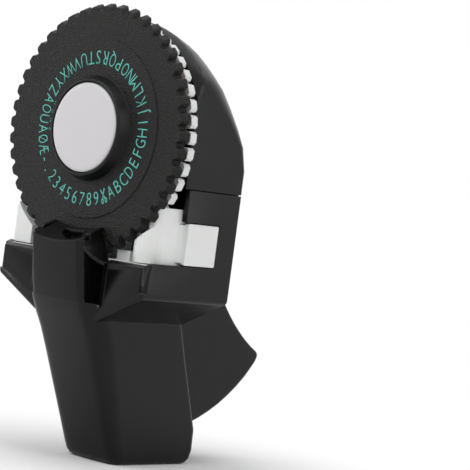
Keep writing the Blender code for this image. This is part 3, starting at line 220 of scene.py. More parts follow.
class LabelMakerSizes(PropertyGroup):
    """Sizes of the housing's front, the guide and the dial's characters and grain."""
    character_height: FloatProperty(
        name="Character Height", description="Height of a capital on the dial",
        default=3.7 * MM, min=1.0 * MM, max=6.0 * MM, subtype="DISTANCE", unit="LENGTH")
    character_ring: FloatProperty(
        name="Character Ring", description="Radius of the ring through the middles of the characters",
        default=19.6 * MM, min=15.0 * MM, max=24.0 * MM, subtype="DISTANCE", unit="LENGTH")
    character_turn: FloatProperty(
        name="Character Turn", description="Where the first character stands on the dial",
        default=218.5 * DEGREE, subtype="ANGLE", unit="ROTATION")
    character_width: FloatProperty(
        name="Character Width", description="Width of most capitals as a share of their height",
        default=0.62, min=0.3, max=1.2)
    wide_width: FloatProperty(
        name="Wide Width", description="Width of the widest capitals as a share of their height",
        default=0.8, min=0.3, max=1.5)
    character_weight: FloatProperty(
        name="Character Weight", description="Extra stroke width on each side",
        default=-0.05 * MM, min=-0.1 * MM, max=0.3 * MM, subtype="DISTANCE", unit="LENGTH")
    character_relief: FloatProperty(
        name="Character Relief", description="How far the characters stand off the dial",
        default=0.06 * MM, min=0.01 * MM, max=0.4 * MM, subtype="DISTANCE", unit="LENGTH")
    face_depth: FloatProperty(
        name="Face Depth", description="Distance of the character band in front of the rim",
        default=1.4 * MM, min=0.0, max=4.0 * MM, subtype="DISTANCE", unit="LENGTH")
    edge_radius: FloatProperty(
        name="Edge Radius", description="Moulded radius on outer edges",
        default=0.35 * MM, min=0.0, max=1.5 * MM, subtype="DISTANCE", unit="LENGTH")
    hub_radius: FloatProperty(
        name="Hub Radius", description="Radius within which the dial is polished instead of grained",
        default=14.3 * MM, min=0.0, max=30.0 * MM, subtype="DISTANCE", unit="LENGTH")
    grain_mm: FloatProperty(
        name="Grain", description="Spacing of the mould's leather grain in millimetres",
        default=0.75, min=0.2, max=3.0)
    web_thickness: FloatProperty(
        name="Web Thickness", description="Skin that roofs the grooves beside the column",
        default=0.9 * MM, min=0.4 * MM, max=2.0 * MM, subtype="DISTANCE", unit="LENGTH")
    groove_edge: FloatProperty(
        name="Groove Edge", description="Radius of the grooves' outer edges",
        default=2.2 * MM, min=0.2 * MM, max=3.0 * MM, subtype="DISTANCE", unit="LENGTH")
    column_facet: FloatProperty(
        name="Column Facet", description="Leg of the facets on the column's corners at its head",
        default=1.75 * MM, min=0.2 * MM, max=2.5 * MM, subtype="DISTANCE", unit="LENGTH")
    dish_thickness: FloatProperty(
        name="Dish Thickness", description="Skin of the column's hollow top",
        default=0.8 * MM, min=0.3 * MM, max=1.5 * MM, subtype="DISTANCE", unit="LENGTH")
    guide_round: FloatProperty(
        name="Guide Round", description="Radius of the tape guide's outer upright corner",
        default=5.0 * MM, min=0.5 * MM, max=6.5 * MM, subtype="DISTANCE", unit="LENGTH")
    rim_radius: FloatProperty(
        name="Rim Radius", description="Rounding of the column's front rim",
        default=0.28 * MM, min=0.1 * MM, max=0.6 * MM, subtype="DISTANCE", unit="LENGTH")
    curve_steps: IntProperty(
        name="Curve Steps", description="Steps of each character's curves", default=3, min=1, max=12)


class LabelMakerColours(PropertyGroup):
    """Colours of the moulded and printed materials."""
    black: FloatVectorProperty(
        name="Black", description="Glossy black plastic", subtype="COLOR", size=3, min=0.0, max=1.0,
        default=linear("#0b0a0a"))
    grained: FloatVectorProperty(
        name="Grained Black", description="Grained black plastic", subtype="COLOR", size=3, min=0.0, max=1.0,
        default=linear("#131110"))
    white: FloatVectorProperty(
        name="White", description="White guide plastic", subtype="COLOR", size=3, min=0.0, max=1.0,
        default=linear("#e6e7e6"))
    cap: FloatVectorProperty(
        name="Cap Grey", description="Light grey hub cap", subtype="COLOR", size=3, min=0.0, max=1.0,
        default=linear("#d3d1d3"))
    characters: FloatVectorProperty(
        name="Characters", description="Turquoise characters", subtype="COLOR", size=3, min=0.0, max=1.0,
        default=linear("#5ec2b6"))
    rubber: FloatVectorProperty(
        name="Rubber", description="Grey feed roller", subtype="COLOR", size=3, min=0.0, max=1.0,
        default=linear("#5c5c5c"))
    floor: FloatVectorProperty(
        name="Floor", description="Pale studio floor", subtype="COLOR", size=3, min=0.0, max=1.0,
        default=linear("#f6f6f6"))


def add_node(material, kind, settings=None, links=None):
    """Add one node, set its properties and sockets, and link its inputs."""
    node = material.node_tree.nodes.new(kind)
    for key, value in (settings or {}).items():
        if isinstance(key, str) and hasattr(node, key):
            setattr(node, key, value)
        else:
            node.inputs[key].default_value = value
    for socket, (source, output) in (links or {}).items():
        material.node_tree.links.new(source.outputs[output], node.inputs[socket])
    return node


def empty_material(name):
    """A new material without any nodes."""
    material = bpy.data.materials.new(name)
    material.use_nodes = True
    material.node_tree.nodes.clear()
    return material


def opaque(colour, share=1.0):
    """A colour, or a darker share of it, with full alpha."""
    return (colour[0] * share, colour[1] * share, colour[2] * share, 1.0)


def surface(material, settings, links):
    """Put the shader and the output on a material."""
    shader = add_node(material, "ShaderNodeBsdfPrincipled", settings, links)
    add_node(material, "ShaderNodeOutputMaterial", links={"Surface": (shader, "BSDF")})
    return material


def glossy_moulded_abs(colours, sizes):
    # ABS moulded in a polished tool: deep, almost wet gloss with the faint orange peel of the melt
    material = empty_material("abs_black_polished_mould")
    place = add_node(material, "ShaderNodeTexCoord")
    edge = add_node(material, "ShaderNodeBevel", {"samples": BEVEL_SAMPLES, "Radius": sizes.edge_radius})
    peel = add_node(material, "ShaderNodeTexNoise",
                    {"Scale": per_mm(ORANGE_PEEL), "Detail": 2.0, "Roughness": 0.4},
                    {"Vector": (place, "Object")})
    ripple = add_node(material, "ShaderNodeBump", {"Strength": 0.08, "Distance": 0.05 * MM},
                      {"Height": (peel, "Fac"), "Normal": (edge, "Normal")})
    haze = add_node(material, "ShaderNodeTexNoise",
                    {"Scale": per_mm(GLOSS_HAZE), "Detail": 5.0, "Roughness": 0.6},
                    {"Vector": (place, "Object")})
    gloss = add_node(material, "ShaderNodeMapRange",
                     {"From Min": 0.3, "From Max": 0.7, "To Min": 0.2, "To Max": 0.28},
                     {"Value": (haze, "Fac")})
    return surface(material, {"Base Color": opaque(colours.black), "IOR": 1.53, "Specular IOR Level": 0.2},
                   {"Roughness": (gloss, "Result"), "Normal": (ripple, "Normal")})


def grained_moulded_abs(colours, sizes):
    # ABS moulded against an etched tool: small leather cells that scatter the light into soft sparkles
    material = empty_material("abs_black_etched_mould")
    place = add_node(material, "ShaderNodeTexCoord")
    edge = add_node(material, "ShaderNodeBevel", {"samples": BEVEL_SAMPLES, "Radius": sizes.edge_radius})
    bend = add_node(material, "ShaderNodeTexNoise", {"Scale": per_mm(sizes.grain_mm * 2.0), "Detail": 2.0},
                    {"Vector": (place, "Object")})
    shifted = add_node(material, "ShaderNodeVectorMath",
                       {"operation": "SCALE", "Scale": sizes.grain_mm * 0.4 * MM}, {0: (bend, "Color")})
    moved = add_node(material, "ShaderNodeVectorMath", {"operation": "ADD"},
                     {0: (place, "Object"), 1: (shifted, "Vector")})
    cells = add_node(material, "ShaderNodeTexVoronoi",
                     {"feature": "DISTANCE_TO_EDGE", "Scale": per_mm(sizes.grain_mm)},
                     {"Vector": (moved, "Vector")})
    pads = add_node(material, "ShaderNodeMapRange",
                    {"interpolation_type": "SMOOTHSTEP", "From Min": 0.02, "From Max": 0.3},
                    {"Value": (cells, "Distance")})
    pits = add_node(material, "ShaderNodeTexNoise", {"Scale": per_mm(ETCHED_PITS), "Detail": 3.0},
                    {"Vector": (place, "Object")})
    height = add_node(material, "ShaderNodeMath", {"operation": "MULTIPLY_ADD", 1: 0.5},
                      {0: (pits, "Fac"), 2: (pads, "Result")})
    # Distance from the dial's axis, which tells the polished hub from the grained face
    away = add_node(material, "ShaderNodeVectorMath",
                    {"operation": "MULTIPLY_ADD", 1: (1.0, 0.0, 1.0),
                     2: (-DIAL_CENTRE.x, 0.0, -DIAL_CENTRE.z)}, {0: (place, "Object")})
    reach = add_node(material, "ShaderNodeVectorMath", {"operation": "LENGTH"}, {0: (away, "Vector")})
    grained = add_node(material, "ShaderNodeMapRange",
                       {"interpolation_type": "SMOOTHSTEP", "From Min": sizes.hub_radius,
                        "From Max": sizes.hub_radius + GRAIN_FADE * MM}, {"Value": (reach, "Value")})
    carved = add_node(material, "ShaderNodeMath", {"operation": "MULTIPLY"},
                      {0: (height, "Value"), 1: (grained, "Result")})
    grain = add_node(material, "ShaderNodeBump", {"Strength": 0.9, "Distance": 0.14 * MM},
                     {"Height": (carved, "Value"), "Normal": (edge, "Normal")})
    matt = add_node(material, "ShaderNodeMapRange", {"To Min": 0.52, "To Max": 0.36},
                    {"Value": (pads, "Result")})
    shine = add_node(material, "ShaderNodeMix", {"data_type": "FLOAT", 2: 0.3},
                     {"Factor": (grained, "Result"), 3: (matt, "Result")})
    tint = add_node(material, "ShaderNodeMix",
                    {"data_type": "RGBA", "A": opaque(colours.black), "B": opaque(colours.grained)},
                    {"Factor": (grained, "Result")})
    return surface(material, {"IOR": 1.53, "Specular IOR Level": 0.21},
                   {"Base Color": (tint, "Result"), "Roughness": (shine, "Result"),
                    "Normal": (grain, "Normal")})


def satin_white_acetal(colours, sizes):
    # Acetal moulded in a fine-blasted tool: milky, slightly translucent and soft in its highlights
    material = empty_material("acetal_white_blasted_mould")
    place = add_node(material, "ShaderNodeTexCoord")
    edge = add_node(material, "ShaderNodeBevel", {"samples": BEVEL_SAMPLES, "Radius": sizes.edge_radius})
    flow = add_node(material, "ShaderNodeTexNoise", {"Scale": per_mm(MOULD_FLOW), "Detail": 3.0},
                    {"Vector": (place, "Object")})
    tint = add_node(material, "ShaderNodeMix",
                    {"data_type": "RGBA", "A": opaque(colours.white, 0.94), "B": opaque(colours.white)},
                    {"Factor": (flow, "Fac")})
    blast = add_node(material, "ShaderNodeTexNoise", {"Scale": per_mm(BLASTED_SKIN), "Detail": 2.0},
                     {"Vector": (place, "Object")})
    bump = add_node(material, "ShaderNodeBump", {"Strength": 0.12, "Distance": 0.02 * MM},
                    {"Height": (blast, "Fac"), "Normal": (edge, "Normal")})
    return surface(material,
                   {"Roughness": 0.38, "IOR": 1.48, "Subsurface Weight": 0.08, "Subsurface Scale": 0.8 * MM},
                   {"Base Color": (tint, "Result"), "Normal": (bump, "Normal")})


def satin_grey_abs(colours, sizes):
    # ABS cap with a spark-eroded face: very fine even speckle under a satin sheen
    material = empty_material("abs_grey_spark_eroded")
    place = add_node(material, "ShaderNodeTexCoord")
    edge = add_node(material, "ShaderNodeBevel", {"samples": BEVEL_SAMPLES, "Radius": sizes.edge_radius})
    speck = add_node(material, "ShaderNodeTexNoise", {"Scale": per_mm(ERODED_SPECK), "Detail": 3.0},
                     {"Vector": (place, "Object")})
    tint = add_node(material, "ShaderNodeMix",
                    {"data_type": "RGBA", "A": opaque(colours.cap, 0.9), "B": opaque(colours.cap)},
                    {"Factor": (speck, "Fac")})
    bump = add_node(material, "ShaderNodeBump", {"Strength": 0.2, "Distance": 0.02 * MM},
                    {"Height": (speck, "Fac"), "Normal": (edge, "Normal")})
    return surface(material, {"Roughness": 0.33, "IOR": 1.53},
                   {"Base Color": (tint, "Result"), "Normal": (bump, "Normal")})


def zinc_plated_steel():
    # Turned and bright zinc-plated steel: bluish metal with faint tooling streaks
    material = empty_material("steel_zinc_plated_turned")
    place = add_node(material, "ShaderNodeTexCoord")
    stretch = add_node(material, "ShaderNodeMapping", {"Scale": (1.0, 0.1, 1.0)},
                       {"Vector": (place, "Object")})
    streak = add_node(material, "ShaderNodeTexNoise", {"Scale": per_mm(ZINC_STREAK), "Detail": 3.0},
                      {"Vector": (stretch, "Vector")})
    sheen = add_node(material, "ShaderNodeMapRange", {"To Min": 0.22, "To Max": 0.38},
                     {"Value": (streak, "Fac")})
    scratch = add_node(material, "ShaderNodeBump", {"Strength": 0.15, "Distance": 0.01 * MM},
                       {"Height": (streak, "Fac")})
    return surface(material, {"Base Color": opaque(linear("#c3c7cb")), "Metallic": 1.0},
                   {"Roughness": (sheen, "Result"), "Normal": (scratch, "Normal")})


def hardened_spring_steel():
    # Rolled spring steel: darker than zinc, with a straight rolling grain
    material = empty_material("steel_spring_rolled")
    place = add_node(material, "ShaderNodeTexCoord")
    stretch = add_node(material, "ShaderNodeMapping", {"Scale": (0.05, 1.0, 1.0)},
                       {"Vector": (place, "Object")})
    grain = add_node(material, "ShaderNodeTexNoise", {"Scale": per_mm(ROLLING_GRAIN), "Detail": 2.0},
                     {"Vector": (stretch, "Vector")})
    sheen = add_node(material, "ShaderNodeMapRange", {"To Min": 0.2, "To Max": 0.34},
                     {"Value": (grain, "Fac")})
    return surface(material, {"Base Color": opaque(linear("#9fa1a5")), "Metallic": 1.0},
                   {"Roughness": (sheen, "Result")})


def turned_brass():
    # Turned brass bush: warm yellow with fine turning lines
    material = empty_material("brass_turned")
    place = add_node(material, "ShaderNodeTexCoord")
    lines = add_node(material, "ShaderNodeTexNoise", {"Scale": per_mm(TURNING_LINES), "Detail": 2.0},
                     {"Vector": (place, "Object")})
    sheen = add_node(material, "ShaderNodeMapRange", {"To Min": 0.2, "To Max": 0.35},
                     {"Value": (lines, "Fac")})
    return surface(material, {"Base Color": opaque(linear("#d9b865")), "Metallic": 1.0},
                   {"Roughness": (sheen, "Result")})


def moulded_rubber(colours):
    # Nitrile rubber roller, ground after moulding: matt, dusty and slightly uneven in tone
    material = empty_material("nitrile_rubber_ground")
    place = add_node(material, "ShaderNodeTexCoord")
    dust = add_node(material, "ShaderNodeTexNoise", {"Scale": per_mm(RUBBER_DUST), "Detail": 4.0},
                    {"Vector": (place, "Object")})
    tint = add_node(material, "ShaderNodeMix",
                    {"data_type": "RGBA", "A": opaque(colours.rubber, 0.8), "B": opaque(colours.rubber)},
                    {"Factor": (dust, "Fac")})
    bump = add_node(material, "ShaderNodeBump", {"Strength": 0.3, "Distance": 0.02 * MM},
                    {"Height": (dust, "Fac")})
    return surface(material, {"Roughness": 0.8}, {"Base Color": (tint, "Result"), "Normal": (bump, "Normal")})


def stamped_foil(colours):
    # Hot-stamped pigment foil on the raised characters: satin, with a slightly broken cover
    material = empty_material("foil_turquoise_hot_stamped")
    place = add_node(material, "ShaderNodeTexCoord")
    cover = add_node(material, "ShaderNodeTexNoise", {"Scale": per_mm(FOIL_COVER), "Detail": 4.0},
                     {"Vector": (place, "Object")})
    tint = add_node(material, "ShaderNodeMix",
                    {"data_type": "RGBA", "A": opaque(colours.characters, 0.78),
                     "B": opaque(colours.characters)}, {"Factor": (cover, "Fac")})
    return surface(material, {"Roughness": 0.5}, {"Base Color": (tint, "Result")})


def seen_straight(material):
    """Whether a ray comes from the camera, by reflection or through glass."""
    path = add_node(material, "ShaderNodeLightPath")
    mirrored = add_node(material, "ShaderNodeMath", {"operation": "MAXIMUM"},
                        {0: (path, "Is Glossy Ray"), 1: (path, "Is Transmission Ray")})
    return add_node(material, "ShaderNodeMath", {"operation": "MAXIMUM"},
                    {0: (path, "Is Camera Ray"), 1: (mirrored, "Value")})


def pale_floor(colours):
    # Matt painted studio board that runs out into plain white before its edge
    material = empty_material("board_white_matt_paint")
    place = add_node(material, "ShaderNodeTexCoord")
    roll = add_node(material, "ShaderNodeTexNoise", {"Scale": per_mm(BOARD_ROLLER), "Detail": 2.0},
                    {"Vector": (place, "Object")})
    bump = add_node(material, "ShaderNodeBump", {"Strength": 0.05, "Distance": 0.1 * MM},
                    {"Height": (roll, "Fac")})
    board = add_node(material, "ShaderNodeBsdfPrincipled",
                     {"Base Color": opaque(colours.floor), "Roughness": 0.9}, {"Normal": (bump, "Normal")})
    away = add_node(material, "ShaderNodeVectorMath", {"operation": "LENGTH"}, {0: (place, "Object")})
    fade = add_node(material, "ShaderNodeMapRange",
                    {"interpolation_type": "SMOOTHSTEP", "From Min": FADE_NEAR, "From Max": FADE_FAR},
                    {"Value": (away, "Value")})
    share = add_node(material, "ShaderNodeMath", {"operation": "MULTIPLY"},
                     {0: (fade, "Result"), 1: (seen_straight(material), "Value")})
    white = add_node(material, "ShaderNodeEmission", {"Color": (1.0, 1.0, 1.0, 1.0), "Strength": 1.0})
    mix = add_node(material, "ShaderNodeMixShader", None,
                   {0: (share, "Value"), 1: (board, "BSDF"), 2: (white, "Emission")})
    add_node(material, "ShaderNodeOutputMaterial", links={"Surface": (mix, "Shader")})
    return material


def coat(names, material):
    """Give CAD pieces their finish."""
    for name in names:
        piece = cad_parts[name]
        piece.data.materials.clear()
        piece.data.materials.append(material)


class LABELMAKER_OT_housing(Operator):
    """Finish the glossy black housing, cover and trigger"""
    bl_idname = "labelmaker.housing"
    bl_label = "Housing, Cover and Trigger"

    def execute(self, context):
        scene = context.scene
        coat(GLOSS_BLACK_PIECES, glossy_moulded_abs(scene.label_colours, scene.label_sizes))
        return {"FINISHED"}


def from_dial(x, y, z):
    """A point given in millimetres about the dial's centre, in the frame's metres."""
    return DIAL_CENTRE + Vector((x, y, z)) * MM


def skin(name, rings):
    """A closed mesh over rings of equal point counts, given in millimetres about the dial's centre."""
    body = bmesh.new()
    rows = [[body.verts.new(from_dial(*point)) for point in ring] for ring in rings]
    for first, second in zip(rows, rows[1:]):
        for i in range(len(first)):
            j = (i + 1) % len(first)
            body.faces.new((first[i], first[j], second[j], second[i]))
    bmesh.ops.triangulate(body, faces=body.faces)
    body.faces.new(rows[0])
    body.faces.new(rows[-1])
    bmesh.ops.recalc_face_normals(body, faces=body.faces)
    mesh = bpy.data.meshes.new(name)
    body.to_mesh(mesh)
    body.free()
    piece = bpy.data.objects.new(name, mesh)
    bpy.context.scene.collection.objects.link(piece)
    return piece


def upright(name, outline, heights):
    """A closed mesh over an outline that stands upright between two heights."""
    return skin(name, [[(x, y, height) for x, y in outline] for height in heights])


def even_shading(piece):
    """Smooth shading with sharp edges kept, in which the wide faces look flat."""
    piece.data.shade_smooth()
    piece.data.set_sharp_from_angle(angle=SHARP_ANGLE)
    shading = piece.modifiers.new("even_shading", "WEIGHTED_NORMAL")
    shading.keep_sharp = True


def carve(piece, cutters):
    """Cut each cutter out of a piece for good, and remove the cutters."""
    for cutter in cutters:
        cut = piece.modifiers.new(cutter.name, "BOOLEAN")
        cut.operation = "DIFFERENCE"
        cut.solver = "EXACT"
        cut.object = cutter
    bpy.context.view_layer.update()
    carved = bpy.data.meshes.new_from_object(piece.evaluated_get(bpy.context.evaluated_depsgraph_get()))
    piece.modifiers.clear()
    body = bmesh.new()
    body.from_mesh(carved)
    bmesh.ops.remove_doubles(body, verts=body.verts, dist=CARVED_WELD)
    bmesh.ops.dissolve_degenerate(body, edges=body.edges, dist=CARVED_WELD)
    bmesh.ops.triangulate(body, faces=body.faces)
    body.to_mesh(carved)
    body.free()
    piece.data = carved
    for cutter in cutters:
        bpy.data.objects.remove(cutter, do_unlink=True)
    even_shading(piece)


def groove_head(side, sizes):
    """Room under the web that roofs a groove, so the web is a thin curved skin."""
    thin = sizes.web_thickness / MM
    low = WALL_TOP - WEB_ROOM
    rings = []
    for step in range(WEB_STEPS + 1):
        x = GROOVE_INNER + (GROOVE_OUTER - GROOVE_INNER) * step / WEB_STEPS
        share = (x - WEB_ROOT) / (WEB_END - WEB_ROOT)
        fall = share + WEB_SAG * share * (1.0 - share)
        front = WEB_FRONT_ROOT + share * (WEB_FRONT_END - WEB_FRONT_ROOT)
        high_front = WEB_HIGH_FRONT + fall * (WEB_HIGH_END - WEB_HIGH_FRONT) - thin
        high_back = WEB_HIGH_BACK + fall * (WEB_HIGH_END - WEB_HIGH_BACK) - thin
        outline = ((front - WEB_ROOM, low), (GROOVE_BACK, low), (GROOVE_BACK, high_back),
                   (WEB_BACK, high_back), (front, high_front), (front - WEB_ROOM, high_front))
        rings.append([(side * x, y, height) for y, height in outline])
    return skin("groove_head", rings)


def groove_seat(side):
    """Room for the round edge beside a groove."""
    inner = side * (GROOVE_OUTER - SEAT_MARGIN)
    outer = side * (GROOVE_OUTER + EDGE_WIDTH)
    front = WALL_FRONT - SEAT_MARGIN
    outline = ((inner, front), (outer, front), (outer, SEAT_BACK), (inner, SEAT_BACK))
    return upright("groove_seat", outline, (GROOVE_LOW, WALL_TOP - SEAT_DROP))


def groove_edge(side, sizes):
    """The round edge on the outer side of a groove."""
    radius = sizes.groove_edge / MM
    outer = GROOVE_OUTER + EDGE_WIDTH
    inner = outer - EDGE_FLAT - radius
    outline = [(side * outer, EDGE_BACK), (side * outer, WALL_FRONT)]
    for step in range(EDGE_STEPS + 1):
        angle = math.pi / 2.0 * step / EDGE_STEPS
        outline.append((side * (inner + radius * (1.0 - math.sin(angle))),
                        WALL_FRONT + radius * (1.0 - math.cos(angle))))
    outline.append((side * inner, EDGE_BACK))
    return upright("groove_edge", outline, (GROOVE_LOW - EDGE_FOOT, WALL_TOP))


def corner_facet(side, sizes, inset=0.0):
    """The waste at a corner of the column, which leaves a facet that widens towards the head."""
    widest = sizes.column_facet / MM + inset
    foot = COLUMN_FRONTS[0][0]
    head = COLUMN_FRONTS[-1][0]
    outside = COLUMN_SIDE + FACET_MARGIN
    rings = []
    for height, front in COLUMN_FRONTS:
        leg = widest * (FACET_FOOT + (1.0 - FACET_FOOT) * (height - foot) / (head - foot))
        rings.append([(side * (COLUMN_SIDE - leg - FACET_MARGIN), front - FACET_MARGIN, height),
                      (side * outside, front + leg + FACET_MARGIN, height),
                      (side * outside, front - FACET_MARGIN, height)])
    return skin("corner_facet", rings)


def column_rim(x):
    """Height of the column's dipped front rim."""
    radius = (COLUMN_SIDE ** 2 + COLUMN_DIP ** 2) / (2.0 * COLUMN_DIP)
    return COLUMN_TOP + radius - COLUMN_DIP - math.sqrt(radius ** 2 - x ** 2)


def crown(x):
    """A share that is one at the column's middle and nothing at its sides."""
    return 1.0 - (x / COLUMN_SIDE) ** 2


def dish(sizes):
    """The hollow top of the column, from its front rim up to the dial, with the window in it."""
    thick = sizes.dish_thickness / MM
    half = COLUMN_SIDE - DISH_GAP
    rings = []
    for i in range(DISH_ACROSS + 1):
        x = half * (2.0 * i / DISH_ACROSS - 1.0)
        rim = column_rim(x)
        back = DISH_TOP - DISH_SAG * crown(x)
        top = []
        for j in range(DISH_ALONG + 1):
            share = j / DISH_ALONG
            depth = DISH_FRONT + share * (DISH_BACK - DISH_FRONT)
            top.append((x, depth, rim + DISH_LIFT + share * (back - rim)))
        rings.append(top + [(x, y, z - thick) for x, y, z in reversed(top)])
    piece = skin("column_dish", rings)
    window = upright("window", WINDOW_OUTLINE, WINDOW_HEIGHTS)
    carve(piece, [window] + [corner_facet(side, sizes, DISH_INSET) for side in (-1.0, 1.0)])
    return piece


def rim_bead(sizes):
    """The rounded front rim of the column's top."""
    radius = sizes.rim_radius / MM
    half = COLUMN_SIDE - sizes.column_facet / MM * BEAD_END
    (low, low_front), (high, high_front) = COLUMN_FRONTS[-2:]
    turns = [2.0 * math.pi * k / BEAD_ROUND_STEPS for k in range(BEAD_ROUND_STEPS)]
    rings = []
    for i in range(BEAD_STEPS + 1):
        x = half * (2.0 * i / BEAD_STEPS - 1.0)
        height = column_rim(x)
        front = low_front + (high_front - low_front) * (height - low) / (high - low) - BEAD_CROWN * crown(x)
        rings.append([(x, front + radius * (BEAD_SET + math.cos(turn)),
                       height + radius * (math.sin(turn) - BEAD_SET)) for turn in turns])
    bead = skin("rim_bead", rings)
    bead.data.shade_smooth()
    return bead


def guide_corner(x, towards, radius):
    """The waste at an upright front corner of the tape guide, which leaves the corner round."""
    outside = x + towards * CORNER_MARGIN
    outline = [(outside, GUIDE_FRONT - CORNER_MARGIN), (outside, GUIDE_FRONT + radius)]
    for step in range(CORNER_STEPS + 1):
        angle = math.pi / 2.0 * step / CORNER_STEPS
        outline.append((x - towards * radius * (1.0 - math.cos(angle)),
                        GUIDE_FRONT + radius * (1.0 - math.sin(angle))))
    outline.append((x - towards * radius, GUIDE_FRONT - CORNER_MARGIN))
    return upright("guide_corner", outline, (GUIDE_LOW, GUIDE_HIGH))


def welded_copy(name):
    """A copy of a CAD piece with its points joined, which stands for the piece."""
    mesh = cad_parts[name].data.copy()
    mesh.name = name + "_finished"
    body = bmesh.new()
    body.from_mesh(mesh)
    bmesh.ops.remove_doubles(body, verts=body.verts, dist=COPY_WELD)
    body.to_mesh(mesh)
    body.free()
    piece = bpy.data.objects.new(name + "_finished", mesh)
    bpy.context.scene.collection.objects.link(piece)
    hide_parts(name)
    return piece


class LABELMAKER_OT_shells(Operator):
    """Give the tape cover's hood and the trigger even curves"""
    bl_idname = "labelmaker.shells"
    bl_label = "Cover and Trigger"

    def execute(self, context):
        for name, body in (("rear_cover", "cover"), ("trigger", "trigger")):
            piece = welded_copy(name)
            even_shading(piece)
            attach(piece, body)
        return {"FINISHED"}


class LABELMAKER_OT_front(Operator):
    """Finish the housing's front with its thin webs, round edges and the dished top of the column"""
    bl_idname = "labelmaker.front"
    bl_label = "Housing Front"

    def execute(self, context):
        sizes = context.scene.label_sizes
        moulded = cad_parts["main_body"]
        piece = welded_copy("main_body")
        sides = (-1.0, 1.0)
        carve(piece, [groove_head(side, sizes) for side in sides] + [groove_seat(side) for side in sides]
              + [corner_facet(side, sizes) for side in sides])
        edges = [groove_edge(side, sizes) for side in sides]
        for edge in edges:
            even_shading(edge)
        for item in [piece, dish(sizes), rim_bead(sizes)] + edges:
            item.data.materials.clear()
            item.data.materials.append(moulded.data.materials[0])
            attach(item, "base")
        return {"FINISHED"}


class LABELMAKER_OT_dial(Operator):
    """Finish the grained dial, the punch wheel and the hub cap"""
    bl_idname = "labelmaker.dial"
    bl_label = "Dial and Cap"

    def execute(self, context):
        scene = context.scene
        coat(GRAIN_BLACK_PIECES, grained_moulded_abs(scene.label_colours, scene.label_sizes))
        coat(GREY_PIECES, satin_grey_abs(scene.label_colours, scene.label_sizes))
        return {"FINISHED"}


class LABELMAKER_OT_chassis(Operator):
    """Finish the white chassis, guides and die wheel"""
    bl_idname = "labelmaker.chassis"
    bl_label = "White Chassis"

    def execute(self, context):
        scene = context.scene
        coat(WHITE_PIECES, satin_white_acetal(scene.label_colours, scene.label_sizes))
        return {"FINISHED"}


class LABELMAKER_OT_guide(Operator):
    """Round the upright corners of the guide that leads the tape into the wheels"""
    bl_idname = "labelmaker.guide"
    bl_label = "Tape Guide"

    def execute(self, context):
        sizes = context.scene.label_sizes
        piece = welded_copy("tape_guide")
        carve(piece, [guide_corner(GUIDE_OUTER, 1.0, sizes.guide_round / MM),
                      guide_corner(GUIDE_INNER, -1.0, GUIDE_INNER_ROUND)])
        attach(piece, "base")
        return {"FINISHED"}


class LABELMAKER_OT_hardware(Operator):
    """Finish the metal hardware and the rubber roller"""
    bl_idname = "labelmaker.hardware"
    bl_label = "Hardware"

    def execute(self, context):
        coat(ZINC_PIECES, zinc_plated_steel())
        coat(BRASS_PIECES, turned_brass())
        coat(SPRING_PIECES, hardened_spring_steel())
        coat(RUBBER_PIECES, moulded_rubber(context.scene.label_colours))
        return {"FINISHED"}


def character_mesh(text, sizes):
    """One character as a flat mesh, centred across, from a font of size one."""
    curve = bpy.data.curves.new("character", "FONT")
    curve.body = text
    curve.align_x = "CENTER"
    curve.size = 1.0
    curve.offset = sizes.character_weight / sizes.character_height * FONT_CAPITAL
    curve.extrude = 0.0
    curve.resolution_u = sizes.curve_steps
    carrier = bpy.data.objects.new("character", curve)
    bpy.context.scene.collection.objects.link(carrier)
    bpy.context.view_layer.update()
    mesh = bpy.data.meshes.new_from_object(carrier.evaluated_get(bpy.context.evaluated_depsgraph_get()))
    bpy.data.objects.remove(carrier, do_unlink=True)
    bpy.data.curves.remove(curve)
    return mesh


def scissors_mesh():
    """A pair of open scissors for the cutting position, drawn with two rings and two crossed blades."""
    body = bmesh.new()
    turns = [2.0 * math.pi * i / SCISSORS_STEPS for i in range(SCISSORS_STEPS)]
    for side in (-1.0, 1.0):
        outer, inner = [[body.verts.new((side * SCISSORS_RING[0] + radius * math.cos(turn),
                                         SCISSORS_RING[1] + radius * math.sin(turn), 0.0)) for turn in turns]
                        for radius in SCISSORS_RADII]
        for i in range(SCISSORS_STEPS):
            j = (i + 1) % SCISSORS_STEPS
            body.faces.new((outer[i], outer[j], inner[j], inner[i]))
        body.faces.new([body.verts.new((side * x, y, 0.0)) for x, y in SCISSORS_BLADE])
    mesh = bpy.data.meshes.new("scissors")
    body.to_mesh(mesh)
    body.free()
    return mesh


def raise_faces(mesh, height):
    """Give a flat mesh a height, with walls on its open edges, in the same order each time."""
    body = bmesh.new()
    body.from_mesh(mesh)
    faces = list(body.faces)
    walls = [(loop.vert, loop.link_loop_next.vert, face) for face in faces for loop in face.loops
             if loop.edge.is_boundary]
    lift = Vector((0.0, 0.0, height))
    tops = {vertex: body.verts.new(vertex.co + lift) for vertex in list(body.verts)}
    for face in faces:
        body.faces.new([tops[vertex] for vertex in face.verts], face)
    for first, second, beside in walls:
        body.faces.new((first, second, tops[second], tops[first]), beside)
    bmesh.ops.recalc_face_normals(body, faces=body.faces)
    body.to_mesh(mesh)
    body.free()


